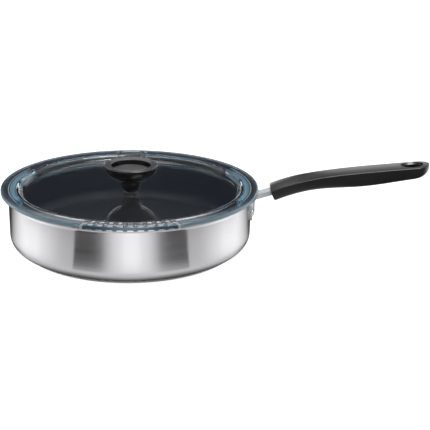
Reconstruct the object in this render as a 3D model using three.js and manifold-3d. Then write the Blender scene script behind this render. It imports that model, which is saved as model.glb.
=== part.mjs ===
// Deep frying pan with a pressed-glass strainer lid, as an assembly of separate solids.
// Millimetres, +Z up. The origin is on the pan's axis on the underside of its base; the handle runs along +X.
import * as THREE from "three";
import { mergeVertices, toCreasedNormals } from "three/addons/utils/BufferGeometryUtils.js";
import Module from "manifold-3d";

const wasm = await Module();
wasm.setup();

// Clearances
const SEAT = 0.3; // between a piece and the curved or cut face that it sits against
const LID_PLAY = 1.7; // between the lid's skirt and the inside of the pan
const CUT_REACH = 8; // how far a cutting tool runs past the face that it opens

// Facets
const ROUND = 52; // sides of the pan and the lid
const KNOB_ROUND = 32; // sides of the knob
const SMALL_ROUND = 16; // sides of screws, washers and rivets
const ARC_STEPS = 4; // steps of a quarter bend
const EDGE_STEPS = 3; // steps of a small rounding
const CREASE = 30; // degrees, above which an edge is drawn sharp

// Pan body
const PAN_RADIUS = 133; // outside of the steel wall
const PAN_WALL = 1.2;
const COATING = 0.3;
const RIM_HEIGHT = 64; // top of the coated rim above the worktop
const RIM_FLARE = 5.5; // radius of the outward bend of the rim
const PAN_CORNER = 13.5; // outside bend between floor and wall

// Base
const BASE_INSET = 12.8; // of the base's edge from the outside of the wall
const CORE_HEIGHT = 2.6;
const CAP_WALL = 0.8;

// Handle bracket
const FOOT_WIDTH = 36;
const FOOT_DROP = 9; // of the foot's top below the rim
const FOOT_HEIGHT = 23;
const FOOT_CORNER = 8;
const FOOT_WALL = 2.2;
const RIB_WIDTH = 12; // upright rib that carries the arm down the foot
const RIB_DEPTH = 4.3;
const RIB_HEIGHT = 20.2; // from the rib's toe to the arm's centre line at the wall
const ARM_DROP = 8.1; // of the arm's centre line below the rim where it meets the wall
const ARM_SLOPE = 18; // degrees
const ARM_WIDTH = 14;
const ARM_THICK = 5.3;
const ARM_FILLET = 4; // between the rib and the arm's underside
const ARM_SEATED = 3; // length of the full arm inside the grip
const TONGUE_LENGTH = 44; // beyond the full arm
const TONGUE_WIDTH = 11;
const TONGUE_THICK = 4;

// Rivets
const RIVET_ANGLE = 5.2; // degrees either side of the handle's plane
const RIVET_DROP = 22; // below the rim
const RIVET_SHANK = 2.5;
const RIVET_HEAD = 4.2;
const RIVET_DOME = 2;
const RIVET_INNER_HEAD = 5;
const RIVET_INNER_THICK = 1.2;

// Grip
const GRIP_START = [19.8, 4.4]; // top centre line at the pan end: out from the wall, up from the rim
const GRIP_END = [193, 36];
const GRIP_START_SLOPE = 25; // degrees
const GRIP_END_SLOPE = 6.2;
const GRIP_START_PULL = 38; // how strongly each end holds its slope
const GRIP_END_PULL = 97;
const GRIP_HALF_WIDTH = 13.75;
const GRIP_HEEL_GAIN = 2.8; // extra half width at the pan end
const GRIP_HEEL_LENGTH = 72;
const GRIP_THICK_START = 13.5;
const GRIP_THICK = 13.6;
const GRIP_THICK_TIP = 3.4;
const GRIP_BELLY = 3.8; // swelling of the underside for the fingers
const GRIP_BELLY_PLACE = 72; // from the tip to its middle
const GRIP_BELLY_REACH = 70; // from its middle to where it ends
const GRIP_TIP_RISE = 20; // length over which the underside rises to the tip
const GRIP_CROWN = 0.9;
const GRIP_TOP_EDGE = 0.9;
const GRIP_BOTTOM_EDGE = 3.6;
const GRIP_DRAFT = 0.9;
const HANG_CENTRE = 18.5; // from the tip to the middle of the hanging hole
const HANG_LENGTH = 20.5;
const HANG_WIDTH = 16.5;
const HANG_DISH = 2.2; // widening of the hole's mouth on each side
const HANG_DISH_DEPTH = 3;
const GRIP_SECTIONS = 11; // between the pan end and the tip's rounding
const TIP_SECTIONS = 8; // within the tip's rounding

// Handle screw
const SCREW_PLACE = 20; // along the tongue from the full arm's end
const SCREW_SHANK = 2;
const SCREW_HEAD = 3.8;
const SCREW_HEAD_HEIGHT = 2.6;
const SCREW_EDGE = 1; // rounding of the head
const SCREW_WALL = 3; // grip material between tongue and screw head

// Lid glass
const LID_OVERHANG = 2.3; // past the rim
const FLANGE_THICK = 3.3;
const LID_EDGE = 1.4;
const LID_ANGLE = 5.2; // degrees, the place of the strainer on the rim
const DISH_INSET = 1.5; // of the dish's edge from the inside of the skirt
const DISH_SLOPE = 70; // degrees, slope of the dish's wall
const DISH_LIP = 4; // rounding where the dish meets the flange
const DISH_WALL = 2; // straight part of the wall
const DISH_BEND = 4; // inside bend from the wall to the plate
const PLATE_SLOPE = 4; // degrees, at the edge of the sagging plate
const PLATE_FLAT = 12; // radius of the flat under the knob
const GLASS_THICK = 4;
const LID_BORE = 4.2;
const SKIRT_THICK = 4.4;
const SKIRT_DROP = 6.5; // below the flange
const SKIRT_EDGE = 1;
const SIDE_SKIRT_SPAN = 56; // degrees, on the handle's side and opposite

// Strainer at the front of the lid
const SLOT_COUNT = 9;
const SLOT_PITCH = 4.15; // degrees
const SLOT_WIDTH = 6.4;
const SLOT_ROOF = 1.3; // glass left above a slot
const COMB_SPAN = 41; // degrees

// Pouring gap at the back of the lid
const POUR_WIDTH = 22.5;
const POUR_RIB = 2;
const POUR_SIDE_SLOT = 4.7;

// Knob
const GASKET_THICK = 0.6;
const GASKET_RADIUS = 8;
const FERRULE_RADIUS = 6.9;
const FERRULE_HEIGHT = 2;
const FERRULE_FLARE = 0.8;
const STEM_FOOT = 7;
const STEM_WAIST = 10;
const STEM_WAIST_RISE = 4.2;
const STEM_NECK = 12.8;
const STEM_HEIGHT = 13.1;
const KNOB_RADIUS = 29.7;
const KNOB_HEIGHT = 30.7; // from the ferrule to the rim
const KNOB_RIM = 1.4;
const BOWL_REACH = 0.5; // part of the way to the rim that the bowl's lower pull covers
const BOWL_RISE = 2.4; // of the lower pull above the neck
const BOWL_FALL = 11; // of the upper pull below the rim
const BOWL_LEAN = 1; // of the upper pull inside the rim
const STEM_TURN = 1; // of the stem's pull below the neck
const KNOB_DISH = 1.1; // fall of the top from the rim to the recess
const RECESS_RADIUS = 21.6;
const RECESS_FLOOR = 20.2;
const RECESS_DEPTH = 7.2;
const DISC_THICK = 1.2;
const INSERT_RADIUS = 4;
const INSERT_LENGTH = 15;

// Lid screw and what it clamps under the glass
const LID_SCREW_SHANK = 2.5;
const LID_SCREW_HEAD = 4.8;
const LID_SCREW_HEAD_HEIGHT = 2.8;
const LID_SCREW_EDGE = 1.6; // rounding of the head
const LID_SCREW_GRIP = 10; // length inside the insert
const WASHER_RADIUS = 8;
const WASHER_THICK = 1;

const radians = THREE.MathUtils.degToRad;
const point = (x, y) => new THREE.Vector2(x, y);

// Points on an arc, with angles in degrees counted from the first axis.
function arc(x, y, radius, from, to, steps = ARC_STEPS) {
  return Array.from({ length: steps + 1 }, (_, i) => {
    const angle = radians(from + ((to - from) * i) / steps);
    return point(x + radius * Math.cos(angle), y + radius * Math.sin(angle));
  });
}

// A profile of radius and height turned about Z.
function turned(profile, sides) {
  return new THREE.LatheGeometry(profile, sides).rotateX(Math.PI / 2);
}

// A closed ring profile turned about Z: the last point joins the first.
function turnedRing(profile, sides) {
  return turned([...profile, profile[0]], sides);
}

// An outline in X and Y carried up along Z.
function raised(outline, height, bottom = 0) {
  const settings = { depth: height, bevelEnabled: false, curveSegments: ARC_STEPS };
  return new THREE.ExtrudeGeometry(outline, settings).translate(0, 0, bottom);
}

// An outline of X and Z carried across Y, half to each side.
function across(outline, width) {
  return raised(outline, width, -width / 2).rotateX(Math.PI / 2);
}

// A cylinder along Z between two heights.
function post(radius, low, high, sides = SMALL_ROUND) {
  return turned([point(0, low), point(radius, low), point(radius, high), point(0, high)], sides);
}

// A flat washer along Z between two heights.
function washer(bore, radius, low, high, sides = SMALL_ROUND) {
  const profile = [point(bore, low), point(radius, low), point(radius, high), point(bore, high)];
  return turnedRing(profile, sides);
}

// A skin through rings of equally many points, which run anticlockwise seen from the last ring,
// closed by a fan on each end.
function lofted(rings) {
  const count = rings[0].length;
  const vertices = rings.flat();
  const faces = [];
  for (let r = 0; r + 1 < rings.length; r++) {
    for (let i = 0; i < count; i++) {
      const a = r * count + i;
      const b = r * count + ((i + 1) % count);
      faces.push(a, b, b + count, a, b + count, a + count);
    }
  }
  [rings[0], rings.at(-1)].forEach((ring, end) => {
    const centre = vertices.length;
    const middle = ring.reduce((sum, p) => sum.add(p), new THREE.Vector3()).divideScalar(count);
    vertices.push(middle);
    const first = end * (rings.length - 1) * count;
    for (let i = 0; i < count; i++) {
      const a = first + i;
      const b = first + ((i + 1) % count);
      faces.push(...(end ? [a, b, centre] : [b, a, centre]));
    }
  });
  return new THREE.BufferGeometry().setFromPoints(vertices).setIndex(faces);
}

// A geometry as a solid that can be joined and cut.
function solid(geometry) {
  const bare = geometry.clone();
  bare.deleteAttribute("normal");
  bare.deleteAttribute("uv");
  const merged = mergeVertices(bare, 1e-4);
  const corners = merged.index.array;
  const triVerts = [];
  for (let i = 0; i < corners.length; i += 3) {
    const [a, b, c] = corners.slice(i, i + 3);
    if (a !== b && b !== c && c !== a) triVerts.push(a, b, c);
  }
  const mesh = new wasm.Mesh({
    numProp: 3,
    vertProperties: merged.attributes.position.array,
    triVerts: new Uint32Array(triVerts),
  });
  return new wasm.Manifold(mesh);
}

function geometryOf(body) {
  const mesh = body.getMesh();
  return new THREE.BufferGeometry()
    .setAttribute("position", new THREE.BufferAttribute(mesh.vertProperties, 3))
    .setIndex(new THREE.BufferAttribute(mesh.triVerts, 1));
}

function cut(geometry, tools) {
  return geometryOf(tools.reduce((body, tool) => body.subtract(solid(tool)), solid(geometry)));
}

function joined(geometries) {
  return geometryOf(geometries.map(solid).reduce((body, other) => body.add(other)));
}

function common(first, second) {
  return geometryOf(solid(first).intersect(solid(second)));
}

const FINISH = {
  steel: { color: 0xc6c8cb, roughness: 0.34, metalness: 1 },
  aluminium: { color: 0xb9bbbd, roughness: 0.5, metalness: 1 },
  casting: { color: 0xc4c5c6, roughness: 0.62, metalness: 0.85 },
  coating: { color: 0x222327, roughness: 0.55, metalness: 0 },
  phenolic: { color: 0x1b1b1d, roughness: 0.48, metalness: 0 },
  inlay: { color: 0x6d6f72, roughness: 0.5, metalness: 0.2 },
  glass: { color: 0xcfe3ea, roughness: 0.04, metalness: 0, transparent: true, opacity: 0.35 },
  silicone: { color: 0x3a3c3f, roughness: 0.7, metalness: 0 },
  brass: { color: 0xb59a58, roughness: 0.4, metalness: 1 },
};

function part(name, geometry, finish) {
  const shaded = toCreasedNormals(geometry, radians(CREASE));
  const mesh = new THREE.Mesh(shaded, new THREE.MeshStandardMaterial(finish));
  mesh.name = name;
  return mesh;
}

// Pan body: the steel sheet and, inside it, the non-stick layer follow one profile at different depths.
const shellBottom = CORE_HEIGHT + CAP_WALL;
const flareStart = RIM_HEIGHT - RIM_FLARE - PAN_WALL - COATING;
const rimRadius = PAN_RADIUS + RIM_FLARE;
const panInside = PAN_RADIUS - PAN_WALL - COATING;
const rivetHeight = RIM_HEIGHT - RIVET_DROP;

// The pan's profile from the axis to the rim, at a depth inwards from the outside of the steel.
function panProfile(depth) {
  const floor = shellBottom + depth;
  return [
    point(0, floor),
    ...arc(PAN_RADIUS - PAN_CORNER, shellBottom + PAN_CORNER, PAN_CORNER - depth, -90, 0),
    ...arc(rimRadius, flareStart, RIM_FLARE + depth, 180, 90),
  ];
}

// The layer of the pan between two depths.
function panLayer(outer, inner) {
  return turned([...panProfile(outer), ...panProfile(inner).reverse()], ROUND);
}

// Everything inside the pan's outline, grown outwards, to clear a piece from the pan.
function panEnvelope(gap) {
  return turned([...panProfile(-gap), point(0, RIM_HEIGHT - PAN_WALL)], ROUND);
}

// Rivets stand radially through the bracket's foot and the wall, one each side of the handle.
const rivetAngles = [-RIVET_ANGLE, RIVET_ANGLE];
const footFace = PAN_RADIUS + SEAT + FOOT_WALL;

function atRivet(geometry, angle) {
  return geometry.rotateY(Math.PI / 2).rotateZ(radians(angle)).translate(0, 0, rivetHeight);
}

const rivetBores = rivetAngles.map((angle) =>
  atRivet(post(RIVET_SHANK + SEAT, panInside - CUT_REACH, footFace + CUT_REACH), angle),
);

const shell = cut(panLayer(0, PAN_WALL), rivetBores);
const coating = cut(panLayer(PAN_WALL, PAN_WALL + COATING), rivetBores);

function rivet(angle) {
  const innerSeat = panInside * Math.cos(radians(180 / ROUND)) - SEAT;
  const outerSeat = footFace + SEAT;
  const dome = Array.from({ length: ARC_STEPS }, (_, i) => {
    const turn = radians((90 * i) / ARC_STEPS);
    return point(RIVET_HEAD * Math.cos(turn), outerSeat + RIVET_DOME * Math.sin(turn));
  });
  const profile = [
    point(0, innerSeat - RIVET_INNER_THICK),
    point(RIVET_INNER_HEAD, innerSeat - RIVET_INNER_THICK),
    point(RIVET_INNER_HEAD, innerSeat),
    point(RIVET_SHANK, innerSeat),
    point(RIVET_SHANK, outerSeat),
    ...dome,
    point(0, outerSeat + RIVET_DOME),
  ];
  return atRivet(turned(profile, SMALL_ROUND), angle);
}

// Base: an aluminium disc that spreads the heat, in a steel cap.
const baseRadius = PAN_RADIUS - BASE_INSET;
const core = post(baseRadius - CAP_WALL, CAP_WALL, shellBottom, ROUND);
const cap = turned(
  [
    point(0, 0),
    ...arc(baseRadius - CAP_WALL, CAP_WALL, CAP_WALL, -90, 0, EDGE_STEPS),
    point(baseRadius, shellBottom),
    point(baseRadius - CAP_WALL, shellBottom),
    point(baseRadius - CAP_WALL, CAP_WALL),
    point(0, CAP_WALL),
  ],
  ROUND,
);

// Bracket: a foot on the wall, an upright rib and an arm that rises to a tongue in the grip.
// The arm's own frame has X along the arm, from the wall, and Z across its thickness.
const armRoot = RIM_HEIGHT - ARM_DROP;
const armFrame = new THREE.Matrix4()
  .makeRotationY(-radians(ARM_SLOPE))
  .setPosition(PAN_RADIUS, 0, armRoot);
const onArm = (geometry) => geometry.applyMatrix4(armFrame);

const gripNormal = radians(GRIP_START_SLOPE - ARM_SLOPE);
const spinePoint = ([out, up]) => new THREE.Vector3(PAN_RADIUS + out, 0, RIM_HEIGHT + up);
const gripTop = spinePoint(GRIP_START).applyMatrix4(armFrame.clone().invert());
const armAtGrip = gripTop.x + gripTop.z * Math.tan(gripNormal);
const armLength = armAtGrip + ARM_SEATED;
const tongueEnd = armLength + TONGUE_LENGTH;

function bar(start, end, width, thick) {
  return new THREE.BoxGeometry(end - start, width, thick).translate((start + end) / 2, 0, 0);
}

// The rib's outline in X and Z: down the wall and out along the arm's underside with a round inside corner.
function ribOutline() {
  const slope = radians(ARM_SLOPE);
  const face = PAN_RADIUS + RIB_DEPTH;
  const centreLine = (x) => armRoot + (x - PAN_RADIUS) * Math.tan(slope);
  const centre = face + ARM_FILLET;
  const centreHeight = centreLine(centre) - (ARM_THICK / 2 + ARM_FILLET) / Math.cos(slope);
  const ribLow = armRoot - RIB_HEIGHT;
  const toe = RIB_DEPTH - FOOT_WALL;
  return new THREE.Shape([
    point(PAN_RADIUS - PAN_WALL, ribLow),
    point(face - toe, ribLow),
    ...arc(face - toe, ribLow + toe, toe, -90, 0),
    ...arc(centre, centreHeight, ARM_FILLET, 180, 90 + ARM_SLOPE),
    point(centre, centreLine(centre)),
    point(PAN_RADIUS - PAN_WALL, armRoot),
  ]);
}

// The foot's outline in Y and Z, with round lower corners and shoulders that draw in towards the arm.
function footOutline() {
  const half = FOOT_WIDTH / 2;
  const top = RIM_HEIGHT - FOOT_DROP;
  const low = top - FOOT_HEIGHT;
  const shoulder = ARM_WIDTH / 2;
  const outline = new THREE.Shape();
  outline.moveTo(-half + FOOT_CORNER, low);
  outline.lineTo(half - FOOT_CORNER, low);
  outline.absarc(half - FOOT_CORNER, low + FOOT_CORNER, FOOT_CORNER, -Math.PI / 2, 0);
  outline.lineTo(half, rivetHeight + FOOT_CORNER / 2);
  outline.quadraticCurveTo(half, top, shoulder, top);
  outline.lineTo(-shoulder, top);
  outline.quadraticCurveTo(-half, top, -half, rivetHeight + FOOT_CORNER / 2);
  outline.lineTo(-half, low + FOOT_CORNER);
  outline.absarc(-half + FOOT_CORNER, low + FOOT_CORNER, FOOT_CORNER, Math.PI, 1.5 * Math.PI);
  return outline;
}

const footBlock = raised(footOutline(), footFace)
  .rotateX(Math.PI / 2)
  .rotateZ(Math.PI / 2);
const foot = common(footBlock, post(footFace, 0, RIM_HEIGHT, ROUND));
const screwPlace = armLength + SCREW_PLACE;
const tongueBore = onArm(
  post(SCREW_SHANK + SEAT, -TONGUE_THICK, TONGUE_THICK).translate(screwPlace, 0, 0),
);
const bracket = cut(
  joined([
    foot,
    across(ribOutline(), RIB_WIDTH),
    onArm(bar(0, armLength, ARM_WIDTH, ARM_THICK)),
    onArm(bar(armLength - ARM_SEATED, tongueEnd, TONGUE_WIDTH, TONGUE_THICK)),
  ]),
  [panEnvelope(SEAT), ...rivetBores, tongueBore],
);

// Grip: sections square to a rising spine, which is the centre line of the top face.
const ease = (t) => t * t * (3 - 2 * t);
const spineStep = (slope, pull) =>
  new THREE.Vector3(Math.cos(radians(slope)), 0, Math.sin(radians(slope))).multiplyScalar(pull);
const spine = new THREE.CubicBezierCurve3(
  spinePoint(GRIP_START),
  spinePoint(GRIP_START).add(spineStep(GRIP_START_SLOPE, GRIP_START_PULL)),
  spinePoint(GRIP_END).sub(spineStep(GRIP_END_SLOPE, GRIP_END_PULL)),
  spinePoint(GRIP_END),
);
const gripLength = spine.getLength();

function spineFrame(distance) {
  const origin = spine.getPointAt(distance / gripLength);
  const along = spine.getTangentAt(distance / gripLength);
  const up = new THREE.Vector3(-along.z, 0, along.x);
  return new THREE.Matrix4()
    .makeBasis(along, new THREE.Vector3(0, 1, 0), up)
    .setPosition(origin);
}

// One section of the grip: crowned top, crisp top edges, drafted sides and a rounded underside.
function gripSection(distance) {
  const fromTip = gripLength - distance;
  const growth = ease(Math.min(1, distance / GRIP_HEEL_LENGTH));
  const roundOff = Math.max(0, 1 - fromTip / GRIP_HALF_WIDTH);
  const half = (GRIP_HALF_WIDTH + GRIP_HEEL_GAIN * (1 - growth)) * Math.sqrt(1 - roundOff ** 2);
  const rise = Math.max(0, 1 - fromTip / GRIP_TIP_RISE);
  const belly = GRIP_BELLY * ease(Math.max(0, 1 - Math.abs(fromTip - GRIP_BELLY_PLACE) / GRIP_BELLY_REACH));
  const body = THREE.MathUtils.lerp(GRIP_THICK_START, GRIP_THICK, growth) + belly;
  const thick = GRIP_THICK_TIP + (body - GRIP_THICK_TIP) * Math.sqrt(1 - rise ** 2);
  const crown = GRIP_CROWN * (half / GRIP_HALF_WIDTH) ** 2;
  const edge = Math.min(GRIP_TOP_EDGE, half / 3);
  const lower = Math.min(GRIP_BOTTOM_EDGE, half / 2, thick / 2.5);
  const side = half - Math.min(GRIP_DRAFT, half / 6);
  const right = [
    point(half / 2, -crown / 4),
    point(half - edge, -crown),
    point(half, -crown - edge),
    ...arc(side - lower, lower - thick, lower, 0, -90, EDGE_STEPS),
  ];
  const left = right.map((p) => point(-p.x, p.y));
  const outline = [point(0, 0), ...left, ...right.reverse()];
  const frame = spineFrame(distance);
  return outline.map((p) => new THREE.Vector3(0, p.x, p.y).applyMatrix4(frame));
}

const tipRound = Math.max(GRIP_HALF_WIDTH, GRIP_TIP_RISE);
const gripStations = [
  ...Array.from({ length: GRIP_SECTIONS + 1 }, (_, i) => ((gripLength - tipRound) * i) / GRIP_SECTIONS),
  ...Array.from({ length: TIP_SECTIONS }, (_, i) => {
    const turn = radians((90 * (i + 1)) / (TIP_SECTIONS + 1));
    return gripLength - tipRound + tipRound * Math.sin(turn);
  }),
];

const hangFrame = spineFrame(gripLength - HANG_CENTRE);
const hangStretch = HANG_WIDTH / HANG_LENGTH;
const dishStretch = (HANG_WIDTH + 2 * HANG_DISH) / (HANG_LENGTH + 2 * HANG_DISH);
const hangHole = post(HANG_LENGTH / 2, -GRIP_THICK - CUT_REACH, CUT_REACH, SMALL_ROUND)
  .scale(1, hangStretch, 1)
  .applyMatrix4(hangFrame);
const dishSlope = HANG_DISH / HANG_DISH_DEPTH;
const hangDish = turned(
  [
    point(0, -HANG_DISH_DEPTH),
    point(HANG_LENGTH / 2, -HANG_DISH_DEPTH),
    point(HANG_LENGTH / 2 + HANG_DISH + dishSlope * GRIP_CROWN, GRIP_CROWN),
    point(0, GRIP_CROWN),
  ],
  SMALL_ROUND,
)
  .scale(1, dishStretch, 1)
  .applyMatrix4(hangFrame);

const screwSeat = -TONGUE_THICK / 2 - SEAT - SCREW_WALL;
const headTop = screwSeat - SEAT;
const gripPocket = [
  onArm(bar(0, armLength + SEAT, ARM_WIDTH + 2 * SEAT, ARM_THICK + 2 * SEAT)),
  onArm(bar(0, tongueEnd + SEAT, TONGUE_WIDTH + 2 * SEAT, TONGUE_THICK + 2 * SEAT)),
];
const screwHole = [
  post(SCREW_SHANK + SEAT, screwSeat - CUT_REACH, 0),
  post(SCREW_HEAD + SEAT, screwSeat - GRIP_THICK - CUT_REACH, screwSeat),
].map((tool) => onArm(tool.translate(screwPlace, 0, 0)));
const grip = cut(lofted(gripStations.map(gripSection)), [hangHole, hangDish, ...gripPocket, ...screwHole]);

// Handle screw: a round head under the grip, threaded into the tongue.
const headLow = headTop - SCREW_HEAD_HEIGHT;
const handleScrew = onArm(
  turned(
    [
      point(0, headLow),
      ...arc(SCREW_HEAD - SCREW_EDGE, headLow + SCREW_EDGE, SCREW_EDGE, -90, 0, EDGE_STEPS),
      point(SCREW_HEAD, headTop),
      point(SCREW_SHANK, headTop),
      point(SCREW_SHANK, TONGUE_THICK / 2),
      point(0, TONGUE_THICK / 2),
    ],
    SMALL_ROUND,
  ).translate(screwPlace, 0, 0),
);

// Lid glass: a flange on the rim and a sunken dish, with skirts that hang in the pan's mouth.
const flangeLow = RIM_HEIGHT + SEAT;
const flangeTop = flangeLow + FLANGE_THICK;
const lidRadius = rimRadius + LID_OVERHANG;
const skirtOut = panInside - LID_PLAY;
const skirtIn = skirtOut - SKIRT_THICK;
const skirtLow = flangeLow - SKIRT_DROP;
const dishEdge = skirtIn - DISH_INSET;
const along = new THREE.Vector2(1, 0).rotateAround(point(0, 0), radians(DISH_SLOPE)); // up the dish's wall
const inwards = new THREE.Vector2(-along.y, along.x);
const lipCentre = point(dishEdge, flangeTop - DISH_LIP);
const bendCentre = lipCentre
  .clone()
  .addScaledVector(inwards, DISH_LIP + DISH_BEND)
  .addScaledVector(along, -DISH_WALL);
const plateSlope = radians(PLATE_SLOPE);
const plateReach = bendCentre.x + DISH_BEND * Math.sin(plateSlope) - PLATE_FLAT;
const plateBend = plateReach / Math.sin(plateSlope);
const plateCentre = point(PLATE_FLAT, bendCentre.y + (plateBend - DISH_BEND) * Math.cos(plateSlope));
const plateTop = plateCentre.y - plateBend;
const plateLow = plateTop - GLASS_THICK;
const underBend = DISH_BEND + GLASS_THICK;
const underWall = bendCentre.clone().addScaledVector(inwards, -underBend);

const lidProfile = [
  point(LID_BORE, plateLow),
  ...arc(plateCentre.x, plateCentre.y, plateBend + GLASS_THICK, -90, PLATE_SLOPE - 90, EDGE_STEPS),
  ...arc(bendCentre.x, bendCentre.y, underBend, PLATE_SLOPE - 90, DISH_SLOPE - 90, EDGE_STEPS).slice(1),
  underWall.clone().addScaledVector(along, (flangeLow - underWall.y) / along.y),
  ...arc(lidRadius - LID_EDGE, flangeLow + LID_EDGE, LID_EDGE, -90, 0, EDGE_STEPS),
  ...arc(lidRadius - LID_EDGE, flangeTop - LID_EDGE, LID_EDGE, 0, 90, EDGE_STEPS),
  ...arc(lipCentre.x, lipCentre.y, DISH_LIP, 90, 90 + DISH_SLOPE, EDGE_STEPS),
  ...arc(bendCentre.x, bendCentre.y, DISH_BEND, DISH_SLOPE - 90, PLATE_SLOPE - 90, EDGE_STEPS),
  ...arc(plateCentre.x, plateCentre.y, plateBend, PLATE_SLOPE - 90, -90, EDGE_STEPS).slice(1),
  point(LID_BORE, plateTop),
];

// A stretch of the skirt about a direction, with angles in degrees.
const skirtRing = turnedRing(
  [
    ...arc(skirtIn + SKIRT_EDGE, skirtLow + SKIRT_EDGE, SKIRT_EDGE, 180, 270, 1),
    ...arc(skirtOut - SKIRT_EDGE, skirtLow + SKIRT_EDGE, SKIRT_EDGE, -90, 0, 1),
    point(skirtOut, flangeLow + FLANGE_THICK / 2),
    point(skirtIn, flangeLow + FLANGE_THICK / 2),
  ],
  ROUND,
);

function skirt(direction, span) {
  const sector = new THREE.Shape();
  sector.moveTo(0, 0);
  sector.absarc(0, 0, 2 * lidRadius, radians(direction - span / 2), radians(direction + span / 2));
  return common(skirtRing, raised(sector, flangeTop));
}

// A channel with an arched roof that runs outwards under the flange, from the dish to past the lid's edge.
function channel(direction, width) {
  const roof = flangeTop - SLOT_ROOF;
  const crown = Math.min(width / 2, roof - flangeLow);
  const outline = new THREE.Shape();
  outline.moveTo(-width / 2, skirtLow - CUT_REACH);
  outline.lineTo(width / 2, skirtLow - CUT_REACH);
  outline.lineTo(width / 2, roof - crown);
  outline.absellipse(width / 2 - crown, roof - crown, crown, crown, 0, Math.PI / 2);
  outline.absellipse(crown - width / 2, roof - crown, crown, crown, Math.PI / 2, Math.PI);
  const start = skirtIn - SKIRT_EDGE;
  return raised(outline, lidRadius + CUT_REACH - start, start)
    .rotateX(Math.PI / 2)
    .rotateZ(radians(direction + 90));
}

const FRONT = LID_ANGLE - 90;
const BACK = LID_ANGLE + 90;
const combChannels = Array.from({ length: SLOT_COUNT }, (_, i) =>
  channel(FRONT + (i - (SLOT_COUNT - 1) / 2) * SLOT_PITCH, SLOT_WIDTH),
);
const degreesAtSkirt = (width) => THREE.MathUtils.radToDeg(width / skirtOut);
const sideSlotAngle = degreesAtSkirt((POUR_WIDTH + POUR_SIDE_SLOT) / 2 + POUR_RIB);
const pourSpan = degreesAtSkirt(POUR_WIDTH + 2 * POUR_SIDE_SLOT + 4 * POUR_RIB);
const pourChannels = [
  channel(BACK, POUR_WIDTH),
  channel(BACK - sideSlotAngle, POUR_SIDE_SLOT),
  channel(BACK + sideSlotAngle, POUR_SIDE_SLOT),
];
const lidGlass = cut(
  joined([
    turnedRing(lidProfile, ROUND),
    skirt(LID_ANGLE, SIDE_SKIRT_SPAN),
    skirt(LID_ANGLE + 180, SIDE_SKIRT_SPAN),
    skirt(FRONT, COMB_SPAN),
    skirt(BACK, pourSpan),
  ]),
  [...combChannels, ...pourChannels],
);

// Knob stack: gasket, ferrule and knob on the glass, with the screw from below into a threaded insert.
const ferruleLow = plateTop + GASKET_THICK;
const knobLow = ferruleLow + FERRULE_HEIGHT;
const knobTop = knobLow + KNOB_HEIGHT;
const neckHeight = knobLow + STEM_HEIGHT;
const insertTop = knobLow + INSERT_LENGTH;
const recessFloor = knobTop - RECESS_DEPTH;
const screwBore = LID_SCREW_SHANK + SEAT;

const upperGasket = washer(LID_BORE, GASKET_RADIUS, plateTop, ferruleLow);
const ferrule = turnedRing(
  [
    point(screwBore, ferruleLow),
    point(FERRULE_RADIUS + FERRULE_FLARE, ferruleLow),
    point(FERRULE_RADIUS, ferruleLow + FERRULE_FLARE),
    point(FERRULE_RADIUS, knobLow),
    point(screwBore, knobLow),
  ],
  SMALL_ROUND,
);
const insert = turned(
  [
    point(0, knobLow + LID_SCREW_GRIP + SEAT),
    point(screwBore, knobLow + LID_SCREW_GRIP + SEAT),
    point(screwBore, knobLow),
    point(INSERT_RADIUS, knobLow),
    point(INSERT_RADIUS, insertTop),
    point(0, insertTop),
  ],
  SMALL_ROUND,
);

// The knob's bowl sweeps from the neck out to the rim.
const bowl = new THREE.CubicBezierCurve(
  point(STEM_NECK, neckHeight),
  point(STEM_NECK + (KNOB_RADIUS - STEM_NECK) * BOWL_REACH, neckHeight + BOWL_RISE),
  point(KNOB_RADIUS - BOWL_LEAN, knobTop - BOWL_FALL),
  point(KNOB_RADIUS, knobTop - KNOB_RIM),
).getPoints(2 * ARC_STEPS);
const stem = new THREE.QuadraticBezierCurve(
  point(STEM_WAIST, knobLow + STEM_WAIST_RISE),
  point(STEM_WAIST, neckHeight - STEM_TURN),
  point(STEM_NECK, neckHeight),
).getPoints(ARC_STEPS);
const knob = turned(
  [
    point(0, insertTop + SEAT),
    point(INSERT_RADIUS + SEAT, insertTop + SEAT),
    point(INSERT_RADIUS + SEAT, knobLow),
    point(STEM_FOOT, knobLow),
    ...stem,
    ...bowl.slice(1),
    ...arc(KNOB_RADIUS - KNOB_RIM, knobTop - KNOB_RIM, KNOB_RIM, 0, 90, EDGE_STEPS).slice(1),
    point(RECESS_RADIUS, knobTop - KNOB_DISH),
    point(RECESS_FLOOR, recessFloor),
    point(0, recessFloor),
  ],
  KNOB_ROUND,
);
const disc = post(RECESS_FLOOR - SEAT, recessFloor, recessFloor + DISC_THICK, KNOB_ROUND);

const washerTop = plateLow - GASKET_THICK;
const washerLow = washerTop - WASHER_THICK;
const lowerGasket = washer(LID_BORE, GASKET_RADIUS, washerTop, plateLow);
const lidWasher = washer(screwBore, WASHER_RADIUS, washerLow, washerTop);
const lidScrew = turned(
  [
    point(0, washerLow - LID_SCREW_HEAD_HEIGHT),
    ...arc(
      LID_SCREW_HEAD - LID_SCREW_EDGE,
      washerLow - LID_SCREW_HEAD_HEIGHT + LID_SCREW_EDGE,
      LID_SCREW_EDGE,
      -90,
      0,
      EDGE_STEPS,
    ),
    point(LID_SCREW_HEAD, washerLow),
    point(LID_SCREW_SHANK, washerLow),
    point(LID_SCREW_SHANK, knobLow + LID_SCREW_GRIP),
    point(0, knobLow + LID_SCREW_GRIP),
  ],
  SMALL_ROUND,
);

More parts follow.
